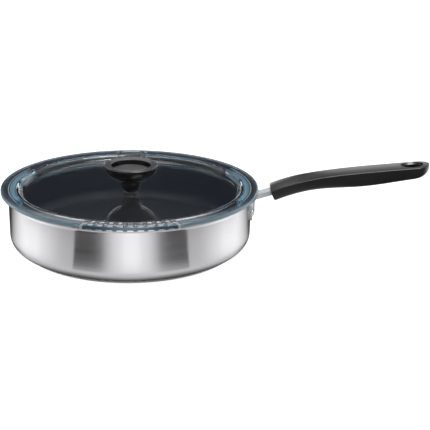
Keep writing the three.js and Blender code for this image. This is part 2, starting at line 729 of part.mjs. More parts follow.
const pan = new THREE.Group();
pan.add(
  part("pan_shell", shell, FINISH.steel),
  part("nonstick_coating", coating, FINISH.coating),
  part("base_core", core, FINISH.aluminium),
  part("base_cap", cap, FINISH.steel),
  part("handle_bracket", bracket, FINISH.casting),
  ...rivetAngles.map((angle, i) => part(["rivet_front", "rivet_back"][i], rivet(angle), FINISH.steel)),
  part("handle_grip", grip, FINISH.phenolic),
  part("handle_screw", handleScrew, FINISH.steel),
);

const lid = new THREE.Group();
lid.add(
  part("lid_glass", lidGlass, FINISH.glass),
  part("knob", knob, FINISH.phenolic),
  part("knob_disc", disc, FINISH.inlay),
  part("knob_insert", insert, FINISH.brass),
  part("knob_ferrule", ferrule, FINISH.steel),
  part("upper_gasket", upperGasket, FINISH.silicone),
  part("lower_gasket", lowerGasket, FINISH.silicone),
  part("lid_washer", lidWasher, FINISH.steel),
  part("lid_screw", lidScrew, FINISH.steel),
);

const fryingPan = new THREE.Group();
fryingPan.add(pan, lid);
export default fryingPan;
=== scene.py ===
# A deep frying pan with a pressed-glass strainer lid, dressed round its CAD frame.
# The handle runs along +X, the camera looks along +Y, and lengths are millimetres until a mesh is made.
from math import radians

import bmesh
import bpy
import numpy as np
from mathutils import Matrix, Vector

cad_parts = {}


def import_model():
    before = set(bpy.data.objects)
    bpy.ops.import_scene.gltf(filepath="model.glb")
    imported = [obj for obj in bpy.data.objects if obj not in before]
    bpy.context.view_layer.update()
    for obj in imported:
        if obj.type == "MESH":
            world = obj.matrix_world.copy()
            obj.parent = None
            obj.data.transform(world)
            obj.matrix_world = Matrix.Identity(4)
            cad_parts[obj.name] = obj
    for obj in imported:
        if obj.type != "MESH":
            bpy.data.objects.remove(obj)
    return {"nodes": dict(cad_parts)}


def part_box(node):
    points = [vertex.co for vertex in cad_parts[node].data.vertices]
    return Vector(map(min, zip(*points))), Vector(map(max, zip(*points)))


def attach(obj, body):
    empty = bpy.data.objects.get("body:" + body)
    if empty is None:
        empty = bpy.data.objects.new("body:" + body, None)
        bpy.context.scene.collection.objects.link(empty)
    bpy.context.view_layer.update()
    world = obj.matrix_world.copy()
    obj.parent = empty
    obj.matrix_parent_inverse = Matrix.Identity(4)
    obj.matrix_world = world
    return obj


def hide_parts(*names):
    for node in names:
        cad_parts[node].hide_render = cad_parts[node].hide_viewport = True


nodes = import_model()["nodes"]
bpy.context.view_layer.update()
scene = bpy.context.scene
scene.view_settings.view_transform = "Standard"

# The camera of the photograph: a long lens about a metre away, a little above the lid.
# It is rolled by a degree and a half, and it stands to the right of the pan's axis.
MM = 0.001
CAMERA_ELEVATION = 19.4
CAMERA_ROLL = 1.47
CAMERA_DISTANCE = 1000
CAMERA_AIM = Vector((93.6, 0, 33.3))
CAMERA_LENS = 74.86
CAMERA_SEES_TO = 100

camera_data = bpy.data.cameras.new("camera")
camera_data.lens = CAMERA_LENS
camera_data.clip_end = CAMERA_SEES_TO
camera = bpy.data.objects.new("camera", camera_data)
scene.collection.objects.link(camera)
camera_turn = Matrix.Rotation(radians(90 - CAMERA_ELEVATION), 4, "X")
camera_place = CAMERA_AIM + camera_turn.to_3x3() @ Vector((0, 0, CAMERA_DISTANCE))
camera.matrix_world = (
    Matrix.Translation(camera_place * MM) @ camera_turn @ Matrix.Rotation(radians(CAMERA_ROLL), 4, "Z")
)
scene.camera = camera

# Pan body: one sheet of stainless steel, deep-drawn to a cup with a round bottom edge and a flared rim,
# then brushed all the way round on a lathe.
SHEET = 1.2
COATING = 0.3
BOTTOM_BEND = 13.5
RIM_FLARE = 5.5
ROUND_SIDES = 288
BEND_STEPS = 20
FLARE_STEPS = 14
SHARP_ANGLE = 32
FINE_WELD = 1e-7
STEEL_DARK = (0.765, 0.76, 0.78, 1)
STEEL_LIGHT = (0.815, 0.81, 0.83, 1)
WALL_ROUGHNESS = 0.2
HAIR_GRAIN = (30, 30, 3800)
HAIR_SHARE = 0.6
HAIR_DEPTH = 0.004
STREAK_GRAIN = (9, 9, 420)
BRUSH_SPREAD = 0.08
BRUSH_PULL = 0.92
BRUSH_TURN = 0.25


def node_box(node):
    """The low and the high corner of a CAD node's box, in millimetres."""
    return [np.array(corner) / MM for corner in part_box(node)]


shell_low, shell_high = node_box("pan_shell")
rim_radius = shell_high[0]
pan_radius = rim_radius - RIM_FLARE
shell_bottom = shell_low[2]
flare_start = shell_high[2] - RIM_FLARE - SHEET


def arc(r, z, radius, start, end, steps=12):
    """Points r + radius cos(a), z + radius sin(a), for angles a in degrees from start to end."""
    angle = np.radians(np.linspace(start, end, steps + 1))
    return np.stack([r + radius * np.cos(angle), z + radius * np.sin(angle)], axis=1)


def smooth(mesh, weld, sharp=SHARP_ANGLE):
    """Merges a mesh's doubles, faces it outwards and shades it smooth between its sharp edges."""
    shape = bmesh.new()
    shape.from_mesh(mesh)
    bmesh.ops.remove_doubles(shape, verts=shape.verts, dist=weld)
    bmesh.ops.recalc_face_normals(shape, faces=shape.faces)
    shape.to_mesh(mesh)
    shape.free()
    mesh.shade_smooth()
    mesh.set_sharp_from_angle(angle=radians(sharp))


def smooth_piece(name, points, faces, sharp=SHARP_ANGLE):
    """An object at the origin from points in millimetres and faces, with its poles closed."""
    mesh = bpy.data.meshes.new(name)
    mesh.from_pydata((np.asarray(points) * MM).tolist(), [], faces)
    smooth(mesh, FINE_WELD, sharp)
    piece = bpy.data.objects.new(name, mesh)
    scene.collection.objects.link(piece)
    return piece


def grid_faces(rows, columns, wrap_rows, wrap_columns):
    """Quads between neighbours of a grid of points numbered row by row; a wrapped side closes on itself."""
    row = np.arange(rows if wrap_rows else rows - 1)[:, None]
    column = np.arange(columns if wrap_columns else columns - 1)[None, :]
    below = row * columns
    above = (row + 1) % rows * columns
    beside = (column + 1) % columns
    corners = [below + column, below + beside, above + beside, above + column]
    return np.stack([c.ravel() for c in np.broadcast_arrays(*corners)], axis=1).tolist()


def turned(name, profile, sides=ROUND_SIDES, ring=False):
    """A solid of revolution: (r cos t, r sin t, z) for each profile point (r, z) and turn t.

    A profile starts and ends on the axis, or is a ring that closes on itself.
    """
    profile = np.asarray(profile)
    turn = np.linspace(0, 2 * np.pi, sides, endpoint=False)
    radius = profile[:, :1]
    height = np.broadcast_to(profile[:, 1:], (len(profile), sides))
    points = np.stack([radius * np.cos(turn), radius * np.sin(turn), height], axis=2)
    return smooth_piece(name, points.reshape(-1, 3), grid_faces(len(profile), sides, ring, True))


def pan_profile(depth):
    """The pan's section from the axis to the rim, at a depth inwards from the outside of the steel."""
    bend_centre = (pan_radius - BOTTOM_BEND, shell_bottom + BOTTOM_BEND)
    return np.concatenate([
        [[0, shell_bottom + depth]],
        arc(*bend_centre, BOTTOM_BEND - depth, -90, 0, BEND_STEPS),
        arc(rim_radius, flare_start, RIM_FLARE + depth, 180, 90, FLARE_STEPS),
    ])


class Socket:
    """An output of a material's node: arithmetic adds Math nodes, and node() adds any other kind."""

    def __init__(self, tree, output=None):
        self.tree = tree
        self.output = output

    def node(self, kind, sockets, out=0, **settings):
        """Adds a node, with its settings first and then a value or a link on each socket."""
        made = self.tree.nodes.new("ShaderNode" + kind)
        for name, value in settings.items():
            setattr(made, name, value)
        for name, value in sockets.items():
            if isinstance(value, Socket):
                self.tree.links.new(value.output, made.inputs[name])
            else:
                made.inputs[name].default_value = value
        return Socket(self.tree, made.outputs[out] if made.outputs else None)

    def math(self, operation, *values):
        return self.node("Math", dict(enumerate(values)), operation=operation)

    def __add__(self, other):
        return self.math("ADD", self, other)

    def __sub__(self, other):
        return self.math("SUBTRACT", self, other)

    def __rsub__(self, other):
        return self.math("SUBTRACT", other, self)

    def __mul__(self, other):
        return self.math("MULTIPLY", self, other)

    def __pow__(self, other):
        return self.math("POWER", self, other)

    __radd__ = __add__
    __rmul__ = __mul__

    def clamped(self, low=0.3, high=0.7):
        """0 below low, 1 above high and straight between; unset, over what most noise fills."""
        return self.node("MapRange", {"Value": self, "From Min": low, "From Max": high})

    def mixed(self, first, second):
        """A colour between two, with this socket as the share of the second."""
        sockets = {"Factor": self, 6: first, 7: second}
        return self.node("Mix", sockets, 2, data_type="RGBA")

    def noise(self, scale, detail=2.0, roughness=0.5):
        """Noise from 0 to 1 at this vector times a scale, one for each axis or one for all."""
        scale = tuple(float(s) for s in np.broadcast_to(scale, 3))
        where = self.node("VectorMath", {0: self, 1: scale}, operation="MULTIPLY")
        sockets = {"Vector": where, "Scale": 1, "Detail": detail, "Roughness": roughness}
        return self.node("TexNoise", sockets)

    def bump(self, distance):
        """A normal that leans with this height, whose full range is the distance in millimetres."""
        return self.node("Bump", {"Height": self, "Distance": distance * MM, "Strength": 1.0})


def material(name):
    """A new material, its tree as a bare socket, and the place on the object in metres."""
    made = bpy.data.materials.new(name)
    made.use_nodes = True
    made.node_tree.nodes.clear()
    tree = Socket(made.node_tree)
    return made, tree, tree.node("TexCoord", {}, "Object")


def surface(tree, sockets):
    """Ends a material's tree in one principled surface."""
    tree.node("OutputMaterial", {"Surface": tree.node("BsdfPrincipled", sockets)})


def brushed_steel(name, roughness, dark=STEEL_DARK, light=STEEL_LIGHT):
    """Steel turned against a brush: hair lines that run round the axis, each a little lighter or duller."""
    made, tree, place = material(name)
    x, y, z = (place.node("SeparateXYZ", {"Vector": place}, axis) for axis in "XYZ")
    along = z + (x * x + y * y) ** 0.5
    groove = place.node("CombineXYZ", {"X": x, "Y": y, "Z": along})
    hair = groove.noise(HAIR_GRAIN, 3, 0.6)
    streak = groove.noise(STREAK_GRAIN)
    tone = hair.clamped() * HAIR_SHARE + streak.clamped() * (1 - HAIR_SHARE)
    surface(tree, {
        "Base Color": tone.mixed(dark, light),
        "Metallic": 1.0,
        "Roughness": roughness + (tone - 0.5) * BRUSH_SPREAD,
        "Anisotropic": BRUSH_PULL,
        "Anisotropic Rotation": BRUSH_TURN,
        "Normal": hair.bump(HAIR_DEPTH),
    })
    return made


def paint(piece, finish):
    """Gives a piece one material only."""
    piece.data.materials.clear()
    piece.data.materials.append(finish)


def dress(piece, body, slot, finish, *replaced):
    """Gives a piece its material and its body, and hides the CAD nodes that it stands for. The slot is not
    used.
    """
    paint(piece, finish)
    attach(piece, body)
    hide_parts(*replaced)


wall_steel = brushed_steel("wall_steel", WALL_ROUGHNESS)
shell_skin = np.concatenate([pan_profile(0), pan_profile(SHEET)[::-1]])
dress(turned("pan_body", shell_skin), "pan", "brushed_steel", wall_steel, "pan_shell")

# Non-stick layer: a dark coat sprayed over the inside of the pan and over the top of its rim, and baked.
# It is satin, with a fine speckle in the coat.
COAT_DARK = (0.012, 0.012, 0.0135, 1)
COAT_LIGHT = (0.024, 0.0245, 0.027, 1)
COAT_ROUGHNESS = 0.4
COAT_SPREAD = 0.12
COAT_SHINE = 0.4
SPECKLE_GRAIN = 1800
SPECKLE_SPAN = (0.45, 0.75)
SPECKLE_SHARE = 0.7
SPECKLE_DEPTH = 0.01
CLOUD_GRAIN = 30

coat, tree, place = material("nonstick_coat")
speckle = place.noise(SPECKLE_GRAIN)
cloud = place.noise(CLOUD_GRAIN, 3)
tone = speckle.clamped(*SPECKLE_SPAN) * SPECKLE_SHARE + cloud * (1 - SPECKLE_SHARE)
surface(tree, {
    "Base Color": tone.mixed(COAT_DARK, COAT_LIGHT),
    "Roughness": COAT_ROUGHNESS + cloud * COAT_SPREAD,
    "Specular IOR Level": COAT_SHINE,
    "Normal": speckle.bump(SPECKLE_DEPTH),
})
coat_skin = np.concatenate([pan_profile(SHEET), pan_profile(SHEET + COATING)[::-1]])
dress(turned("coating", coat_skin), "pan", "coating", coat, "nonstick_coating")

# Base: an aluminium disc that spreads the heat, pressed between the pan's floor and a shallow steel cap.
# The cap's rolled edge is the narrow band under the wall.
CAP_WALL = 0.8
CAP_STEPS = 6
CAP_ROUGHNESS = 0.45
CORE_GRAIN = (60, 2400, 60)
CORE_LOOK = {
    "dark": (0.66, 0.67, 0.68, 1), "light": (0.78, 0.79, 0.8, 1),
    "metal": 1.0, "roughness": 0.42, "spread": 0.1, "depth": 0.01,
}

cap_radius, _, cap_top = node_box("base_cap")[1]
cap_skin = np.concatenate([
    [[0, 0]],
    arc(cap_radius - CAP_WALL, CAP_WALL, CAP_WALL, -90, 0, CAP_STEPS),
    [[cap_radius, cap_top], [cap_radius - CAP_WALL, cap_top]],
    [[cap_radius - CAP_WALL, CAP_WALL], [0, CAP_WALL]],
])
cap_steel = brushed_steel("cap_steel", CAP_ROUGHNESS)
dress(turned("base", cap_skin), "pan", "brushed_steel", cap_steel, "base_cap")


def grained(noise, dark, light, metal, roughness, spread, depth, tone=None):
    """Ends a tree in a surface that a noise makes rougher and higher, and lighter unless a tone does."""
    surface(noise, {
        "Base Color": (tone or noise).mixed(dark, light),
        "Metallic": metal,
        "Roughness": roughness + noise * spread,
        "Normal": noise.bump(depth),
    })


rolled, tree, place = material("rolled_aluminium")
grained(place.noise(CORE_GRAIN), **CORE_LOOK)
paint(nodes["base_core"], rolled)

# Handle bracket: a die casting with a foot on the wall, an upright rib and a rising arm whose tongue goes
# into the grip. It is blasted to a light matt grain, and its edges are cast round.
CAST_EDGE = 0.7
CAST_EDGE_STEPS = 3
CAST_GRAIN = 1500
CAST_CLOUD = 120
CAST_GRAIN_SHARE = 0.7
CAST_LOOK = {
    "dark": (0.50, 0.505, 0.51, 1), "light": (0.68, 0.685, 0.69, 1),
    "metal": 0.75, "roughness": 0.5, "spread": 0.15, "depth": 0.06,
}
WELD = 1e-6
FLAT_ANGLE = 1

casting, tree, place = material("blasted_casting")
grain = place.noise(CAST_GRAIN, 3, 0.6)
cloud = place.noise(CAST_CLOUD)
tone = (grain * CAST_GRAIN_SHARE + cloud * (1 - CAST_GRAIN_SHARE)).clamped()
grained(grain, **CAST_LOOK, tone=tone)


def eased_copy(name, node, edge):
    """A copy of a CAD node with its flat faces joined again and its edges rounded."""
    piece = bpy.data.objects.new(name, nodes[node].data.copy())
    scene.collection.objects.link(piece)
    shape = bmesh.new()
    shape.from_mesh(piece.data)
    bmesh.ops.remove_doubles(shape, verts=shape.verts, dist=WELD)
    bmesh.ops.dissolve_limit(shape, angle_limit=radians(FLAT_ANGLE), verts=shape.verts, edges=shape.edges)
    shape.to_mesh(piece.data)
    shape.free()
    bevel = piece.modifiers.new("cast_edges", "BEVEL")
    bevel.width = edge * MM
    bevel.segments = CAST_EDGE_STEPS
    bevel.limit_method = "ANGLE"
    bevel.angle_limit = radians(SHARP_ANGLE)
    piece.data.shade_smooth()
    piece.data.set_sharp_from_angle(angle=radians(SHARP_ANGLE))
    return piece


dress(eased_copy("bracket", "handle_bracket", CAST_EDGE), "pan", "casting", casting, "handle_bracket")

# Rivets: two steel rivets through the bracket's foot, the wall and the coating.
# Each is domed outside and flat inside.
RIVET_SHANK = 2.5
RIVET_HEAD = 4.2
RIVET_DOME = 2.0
RIVET_DOME_STEPS = 9
RIVET_INNER_HEAD = 5.0
RIVET_INNER_THICK = 1.2
RIVET_SEAT = 0.3
RIVET_LEAN_SHARE = 0.09
RIVET_SIDES = 48
RIVET_ROUGHNESS = 0.22

rivet_steel = brushed_steel("rivet_steel", RIVET_ROUGHNESS)
dome = np.radians(np.linspace(0, 90, RIVET_DOME_STEPS))
for node in ("rivet_front", "rivet_back"):
    low, high = node_box(node)
    middle = (low + high) / 2
    lean = np.arctan2(middle[1], middle[0])
    inner = low[0] / np.cos(lean) + RIVET_INNER_HEAD * abs(np.sin(lean)) * RIVET_LEAN_SHARE
    dome_foot = inner + (high[0] - low[0]) / np.cos(lean) - RIVET_DOME - RIVET_SEAT
    profile = np.concatenate([
        [[0, inner], [RIVET_INNER_HEAD, inner], [RIVET_INNER_HEAD, inner + RIVET_INNER_THICK]],
        [[RIVET_SHANK, inner + RIVET_INNER_THICK], [RIVET_SHANK, dome_foot]],
        np.stack([RIVET_HEAD * np.cos(dome), dome_foot + RIVET_DOME * np.sin(dome)], axis=1),
    ])
    piece = turned(node.replace("rivet", "wall_rivet"), profile, RIVET_SIDES)
    aim = Matrix.Rotation(lean, 4, "Z") @ Matrix.Rotation(radians(90), 4, "Y")
    piece.data.transform(Matrix.Translation((0, 0, middle[2] * MM)) @ aim)
    dress(piece, "pan", "brushed_steel", rivet_steel, node)

# Grip: a black phenolic moulding over the bracket's tongue, with a crowned top, crisp top edges, a belly
# for the fingers, a chamfered hole to hang it by and a bore from below for the screw that holds it.
GRIP_START = np.array([19.8, 4.4])
GRIP_END = np.array([193.0, 36.0])
GRIP_START_SLOPE = 25
GRIP_END_SLOPE = 6.2
GRIP_START_PULL = 38
GRIP_END_PULL = 97
GRIP_HALF_WIDTH = 13.75
GRIP_HEEL_GAIN = 2.8
GRIP_HEEL_LENGTH = 72
GRIP_THICK_START = 13.5
GRIP_THICK = 13.6
GRIP_THICK_TIP = 3.4
GRIP_BELLY = 3.8
GRIP_BELLY_PLACE = 72
GRIP_BELLY_REACH = 70
GRIP_TIP_RISE = 20
GRIP_CROWN = 0.9
GRIP_TOP_EDGE = 0.9
GRIP_BOTTOM_EDGE = 3.6
GRIP_DRAFT = 0.9
GRIP_FACE_EDGE = 1.6
GRIP_FACE_INSET = 5
GRIP_BODY_START = 3
GRIP_SECTIONS = 84
GRIP_FACE_STEPS = 5
GRIP_FLAT_STEPS = 9
GRIP_TOP_STEPS = 7
GRIP_BOTTOM_STEPS = 10
TIP_SECTIONS = 26
TIP_LAST = 88
SPINE_STEPS = 800
HANG_CENTRE = 18.5
HANG_LENGTH = 20.5
HANG_WIDTH = 16.5
HANG_CHAMFER = 2.2
HANG_CHAMFER_DEPTH = 2.7
HANG_CHAMFER_STEPS = 5
HANG_OVERRUN = 1.1
HANG_SIDES = 96
ARM_SLOPE = 18
GRIP_SCREW_HEAD = 3.8
GRIP_SCREW_HEAD_HEIGHT = 2.6
GRIP_SCREW_SHANK = 2.0
GRIP_SCREW_ROOM = 0.3
GRIP_SCREW_SIDES = 48
CUT_REACH = 8
PHENOLIC_DARK = (0.006, 0.006, 0.0065, 1)
PHENOLIC_LIGHT = (0.012, 0.012, 0.0125, 1)
PHENOLIC_PAINTED_HIGHLIGHT = (0.08, 0.08, 0.083, 1)
PHENOLIC_SPREAD = 0.12
HIGHLIGHT_SOFT = 0.8
NO_PAINTED_HIGHLIGHT = 1000
PEBBLE_GRAIN = 1400
FLOW_GRAIN = (45, 90, 90)
FLOW_SHARE = 0.6
GRIP_ROUGHNESS = 0.3
GRIP_PEBBLE = 0.012


def satin_phenolic(name, roughness, pebble, highlight_from=NO_PAINTED_HIGHLIGHT):
    """Black moulded phenolic: a fine pebbled skin with faint flow marks, painted grey above a height as a
    highlight.
    """
    made, tree, place = material(name)
    height = place.node("SeparateXYZ", {"Vector": place}, "Z")
    # Painted highlight: the base colour turns grey above a height, standing in for a highlight line.
    painted_highlight = height.clamped(highlight_from * MM, (highlight_from + HIGHLIGHT_SOFT) * MM)
    skin = place.noise(PEBBLE_GRAIN)
    flow = place.noise(FLOW_GRAIN, 3)
    tone = (flow * FLOW_SHARE + skin * (1 - FLOW_SHARE)).clamped()
    surface(tree, {
        "Base Color": painted_highlight.mixed(tone.mixed(PHENOLIC_DARK, PHENOLIC_LIGHT), PHENOLIC_PAINTED_HIGHLIGHT),
        "Roughness": roughness + (flow - 0.5) * PHENOLIC_SPREAD,
        "Normal": skin.bump(pebble),
    })
    return made


def eased(t):
    """0 to 1 with level ends: t t (3 - 2 t), for t held between 0 and 1."""
    t = np.clip(t, 0, 1)
    return t * t * (3 - 2 * t)


def direction(slope):
    """The unit vector out along X and up along Z at a slope in degrees."""
    return np.array([np.cos(np.radians(slope)), np.sin(np.radians(slope))])


def bezier(*pulls, steps=24):
    """Points of a curve that two, three or four points pull, by repeated straight blends."""
    share = np.linspace(0, 1, steps + 1)[:, None]
    layer = [np.broadcast_to(np.array(p, float), (steps + 1, 2)) for p in pulls]
    while len(layer) > 1:
        layer = [a + (b - a) * share for a, b in zip(layer, layer[1:])]
    return layer[0]


pan_edge = np.array([pan_radius, shell_high[2] + COATING])
spine = bezier(
    pan_edge + GRIP_START,
    pan_edge + GRIP_START + GRIP_START_PULL * direction(GRIP_START_SLOPE),
    pan_edge + GRIP_END - GRIP_END_PULL * direction(GRIP_END_SLOPE),
    pan_edge + GRIP_END,
    steps=SPINE_STEPS,
)
spine_run = np.concatenate([[0], np.cumsum(np.hypot(*np.diff(spine, axis=0).T))])
spine_slope = np.arctan2(*np.gradient(spine, axis=0).T[::-1])
grip_length = spine_run[-1]


def on_spine(run, across, up):
    """Points at a run along the grip's top line, across it along Y and up square to it."""
    x = np.interp(run, spine_run, spine[:, 0])
    z = np.interp(run, spine_run, spine[:, 1])
    slope = np.interp(run, spine_run, spine_slope)
    return np.stack(np.broadcast_arrays(x - up * np.sin(slope), across, z + up * np.cos(slope)), axis=-1)


def grip_points(run, inset):
    """Sections of the grip at runs along its top line, each drawn in by an inset.

    Half the section goes from the crowned top over a small round edge, down the drafted side and
    round the lower edge to the underside; the other half is its mirror image.
    """
    run, inset = run[:, None], inset[:, None]
    from_tip = grip_length - run
    growth = eased(run / GRIP_HEEL_LENGTH)
    round_off = np.clip(1 - from_tip / GRIP_HALF_WIDTH, 0, 1)
    half = (GRIP_HALF_WIDTH + GRIP_HEEL_GAIN * (1 - growth)) * np.sqrt(1 - round_off ** 2) - inset
    rise = np.clip(1 - from_tip / GRIP_TIP_RISE, 0, 1)
    belly = GRIP_BELLY * eased(1 - np.abs(from_tip - GRIP_BELLY_PLACE) / GRIP_BELLY_REACH)
    body = GRIP_THICK_START + (GRIP_THICK - GRIP_THICK_START) * growth + belly
    thick = GRIP_THICK_TIP + (body - GRIP_THICK_TIP) * np.sqrt(1 - rise ** 2) - 2 * inset
    crown = GRIP_CROWN * (half / GRIP_HALF_WIDTH) ** 2
    edge = np.minimum(GRIP_TOP_EDGE, half / 3)
    lower = np.minimum(np.minimum(GRIP_BOTTOM_EDGE, half / 2), thick / 2.5)
    side = half - np.minimum(GRIP_DRAFT, half / 6)
    share = np.linspace(0, 1, GRIP_FLAT_STEPS)
    top_turn = np.radians(np.linspace(90, 0, GRIP_TOP_STEPS))
    low_turn = np.radians(np.linspace(0, -90, GRIP_BOTTOM_STEPS))
    across = np.concatenate([
        share * (half - edge),
        half - edge + edge * np.cos(top_turn),
        side - lower + lower * np.cos(low_turn),
        (1 - share[1:]) * (side - lower),
    ], axis=1)
    up = np.concatenate([
        -crown * share ** 2,
        -crown - edge + edge * np.sin(top_turn),
        lower - thick + lower * np.sin(low_turn),
        np.broadcast_to(-thick, (len(thick), len(share) - 1)),
    ], axis=1) - inset
    across = np.concatenate([across, -across[:, -2:0:-1]], axis=1)
    up = np.concatenate([up, up[:, -2:0:-1]], axis=1)
    return on_spine(run, across, up)


face_turn = np.radians(np.linspace(0, 90, GRIP_FACE_STEPS))
tip_round = max(GRIP_HALF_WIDTH, GRIP_TIP_RISE)
tip_turn = np.radians(np.linspace(0, TIP_LAST, TIP_SECTIONS))
runs = np.concatenate([
    [0],
    GRIP_FACE_EDGE * (1 - np.cos(face_turn)),
    np.linspace(GRIP_BODY_START, grip_length - tip_round, GRIP_SECTIONS),
    grip_length - tip_round + tip_round * np.sin(tip_turn[1:]),
])
face_insets = np.concatenate([[GRIP_FACE_INSET], GRIP_FACE_EDGE * (1 - np.sin(face_turn))])
insets = np.concatenate([face_insets, np.zeros(len(runs) - len(face_insets))])
rings = grip_points(runs, insets)
ring_size = rings.shape[1]
points = np.concatenate([rings.reshape(-1, 3), rings[[0, -1]].mean(axis=1)])
faces = grid_faces(len(runs), ring_size, False, True)
for ring, hub in ((0, len(points) - 2), (len(runs) - 1, len(points) - 1)):
    first = ring * ring_size
    faces += [[first + i, first + (i + 1) % ring_size, hub] for i in range(ring_size)]
grip = smooth_piece("grip", points, faces)


def hang_ring(widening, up):
    """An ellipse about the hanging hole's axis, wider than the hole, at a height over the top line."""
    turn = np.linspace(0, 2 * np.pi, HANG_SIDES, endpoint=False)
    centre = grip_length - HANG_CENTRE
    slope = np.interp(centre, spine_run, spine_slope)
    foot = on_spine(np.array(centre), np.array(0.0), np.array(0.0))
    along = (HANG_LENGTH + widening) / 2 * np.cos(turn)
    x = foot[0] + along * np.cos(slope) - up * np.sin(slope)
    z = foot[2] + along * np.sin(slope) + up * np.cos(slope)
    return np.stack([x, (HANG_WIDTH + widening) / 2 * np.sin(turn), z], axis=1)


hole_rings = [hang_ring(0, -GRIP_THICK - GRIP_BELLY - CUT_REACH)]
for share in np.linspace(0, 1, HANG_CHAMFER_STEPS):
    hole_rings.append(hang_ring(2 * HANG_CHAMFER * share, HANG_CHAMFER_DEPTH * (share - 1)))
hole_rings.append(hang_ring(2 * HANG_CHAMFER * HANG_OVERRUN, CUT_REACH))
hole_points = np.concatenate(hole_rings)
hole_faces = grid_faces(len(hole_rings), HANG_SIDES, False, True)
hole_faces += np.arange(len(hole_points)).reshape(-1, HANG_SIDES)[[0, -1]].tolist()
hole = smooth_piece("hang_hole", hole_points, hole_faces)

screw_mesh = nodes["handle_screw"].data
screw_corners = np.empty(3 * len(screw_mesh.vertices))
screw_mesh.vertices.foreach_get("co", screw_corners)
screw_corners = screw_corners.reshape(-1, 3)[:, ::2] / MM
arm_along = direction(ARM_SLOPE)
screw_run = screw_corners @ arm_along
screw_axis = (screw_run.min() + screw_run.max()) / 2
screw_up = screw_corners @ direction(ARM_SLOPE + 90)
head_seat = screw_up.min() + GRIP_SCREW_HEAD_HEIGHT + GRIP_SCREW_ROOM
bore_low = screw_up.min() - GRIP_THICK - CUT_REACH
head_bore = GRIP_SCREW_HEAD + GRIP_SCREW_ROOM
shank_bore = GRIP_SCREW_SHANK + GRIP_SCREW_ROOM
bore_skin = [
    (0, bore_low), (head_bore, bore_low), (head_bore, head_seat),
    (shank_bore, head_seat), (shank_bore, screw_up.max()), (0, screw_up.max()),
]
screw_hole = turned("screw_hole", bore_skin, GRIP_SCREW_SIDES)
bore_place = Vector((arm_along[0], 0, arm_along[1])) * screw_axis * MM
screw_hole.data.transform(Matrix.Translation(bore_place) @ Matrix.Rotation(radians(-ARM_SLOPE), 4, "Y"))


def carve(piece, cutter):
    """Cuts a closed cutter out of a piece and removes the cutter."""
    cut = piece.modifiers.new("cut", "BOOLEAN")
    cut.operation = "DIFFERENCE"
    cut.solver = "EXACT"
    cut.object = cutter
    carved = bpy.data.meshes.new_from_object(piece.evaluated_get(bpy.context.evaluated_depsgraph_get()))
    piece.modifiers.clear()
    piece.data = carved
    bpy.data.objects.remove(cutter)


bpy.context.view_layer.update()
carve(grip, hole)
carve(grip, screw_hole)
smooth(grip.data, WELD)
grip_phenolic = satin_phenolic("grip_phenolic", GRIP_ROUGHNESS, GRIP_PEBBLE)
dress(grip, "pan", "phenolic", grip_phenolic, "handle_grip")

# Handle screw: a bright steel screw driven from below into the bracket's tongue, which holds the grip.
# Its round head lies at the end of the bore.
BRIGHT_DARK = (0.78, 0.785, 0.79, 1)
BRIGHT_LIGHT = (0.9, 0.905, 0.91, 1)
BRIGHT_ROUGHNESS = 0.16

bright_steel = brushed_steel("bright_steel", BRIGHT_ROUGHNESS, BRIGHT_DARK, BRIGHT_LIGHT)
paint(nodes["handle_screw"], bright_steel)

# Lid: pressed glass with a flange that rests on the rim and a dish that sinks into the pan. Under the
# flange hang skirts that centre it, a comb of arched channels that strains, and a gap that pours.
LID_EDGE = 0.8
LIP_DROP = 0.4
LIP_STEP = 0.4
COMB_LIP_DROP = 1.2
COMB_LIP_SOFT = 1
DISH_INSET = 1.5
DISH_SLOPE = 70
DISH_LIP = 4.0
DISH_WALL = 2.0
DISH_BEND = 4.0
PLATE_SLOPE = 4
PLATE_FLAT = 12.0
PLATE_STEPS = 24
GLASS_THICK = 4.0
LID_BORE = 4.2
FLANGE_THICK = 3.3
FLANGE_RINGS = 44
FLANGE_TOP_RINGS = 10
FLANGE_START = 0.3
LIP_RINGS = 13
LID_PLAY = 1.7
SKIRT_THICK = 4.4
SKIRT_DROP = 6.5
SKIRT_SOFT = 0.9
SKIRT_FILLET = 2.6
SIDE_SKIRT_SPAN = 56
COMB_SPAN = 41
SLOT_COUNT = 9
SLOT_PITCH = 4.15
SLOT_WIDTH = 6.4
SLOT_ROOF = 1.9
SLOT_START = 1.5
POUR_WIDTH = 22.5
POUR_RIB = 2
POUR_SIDE_SLOT = 4.7
LID_ANGLE = 5.2
FRONT = LID_ANGLE - 90
BACK = LID_ANGLE + 90
LID_STEP = 1.25
COMB_STEP = 0.2
SKIRT_ENDS = np.linspace(-1, 1, 9)
LID_SHARP = 75

lid_low, lid_high = node_box("lid_glass")
lid_radius = lid_high[0]
flange_top = lid_high[2]
flange_low = flange_top - FLANGE_THICK
skirt_out = pan_radius - SHEET - COATING - LID_PLAY
skirt_in = skirt_out - SKIRT_THICK
dish_edge = skirt_in - DISH_INSET
wall_along = direction(DISH_SLOPE)
wall_in = direction(DISH_SLOPE + 90)
lip_centre = np.array([dish_edge, flange_top - DISH_LIP])
bend_centre = lip_centre + (DISH_LIP + DISH_BEND) * wall_in - DISH_WALL * wall_along
plate_rise, plate_lean = direction(PLATE_SLOPE)
plate_bend = (bend_centre[0] + DISH_BEND * plate_lean - PLATE_FLAT) / plate_lean
plate_centre = np.array([PLATE_FLAT, bend_centre[1] + (plate_bend - DISH_BEND) * plate_rise])
under_bend = DISH_BEND + GLASS_THICK
under_wall = bend_centre - under_bend * wall_in


def window(distance, half, soft):
    """1 within half of the middle, 0 beyond half plus soft, with an S between."""
    return eased((half + soft - np.abs(distance)) / soft)


def away(turn, middle):
    """Degrees from a direction, between -180 and 180."""
    return (turn - middle + 180) % 360 - 180


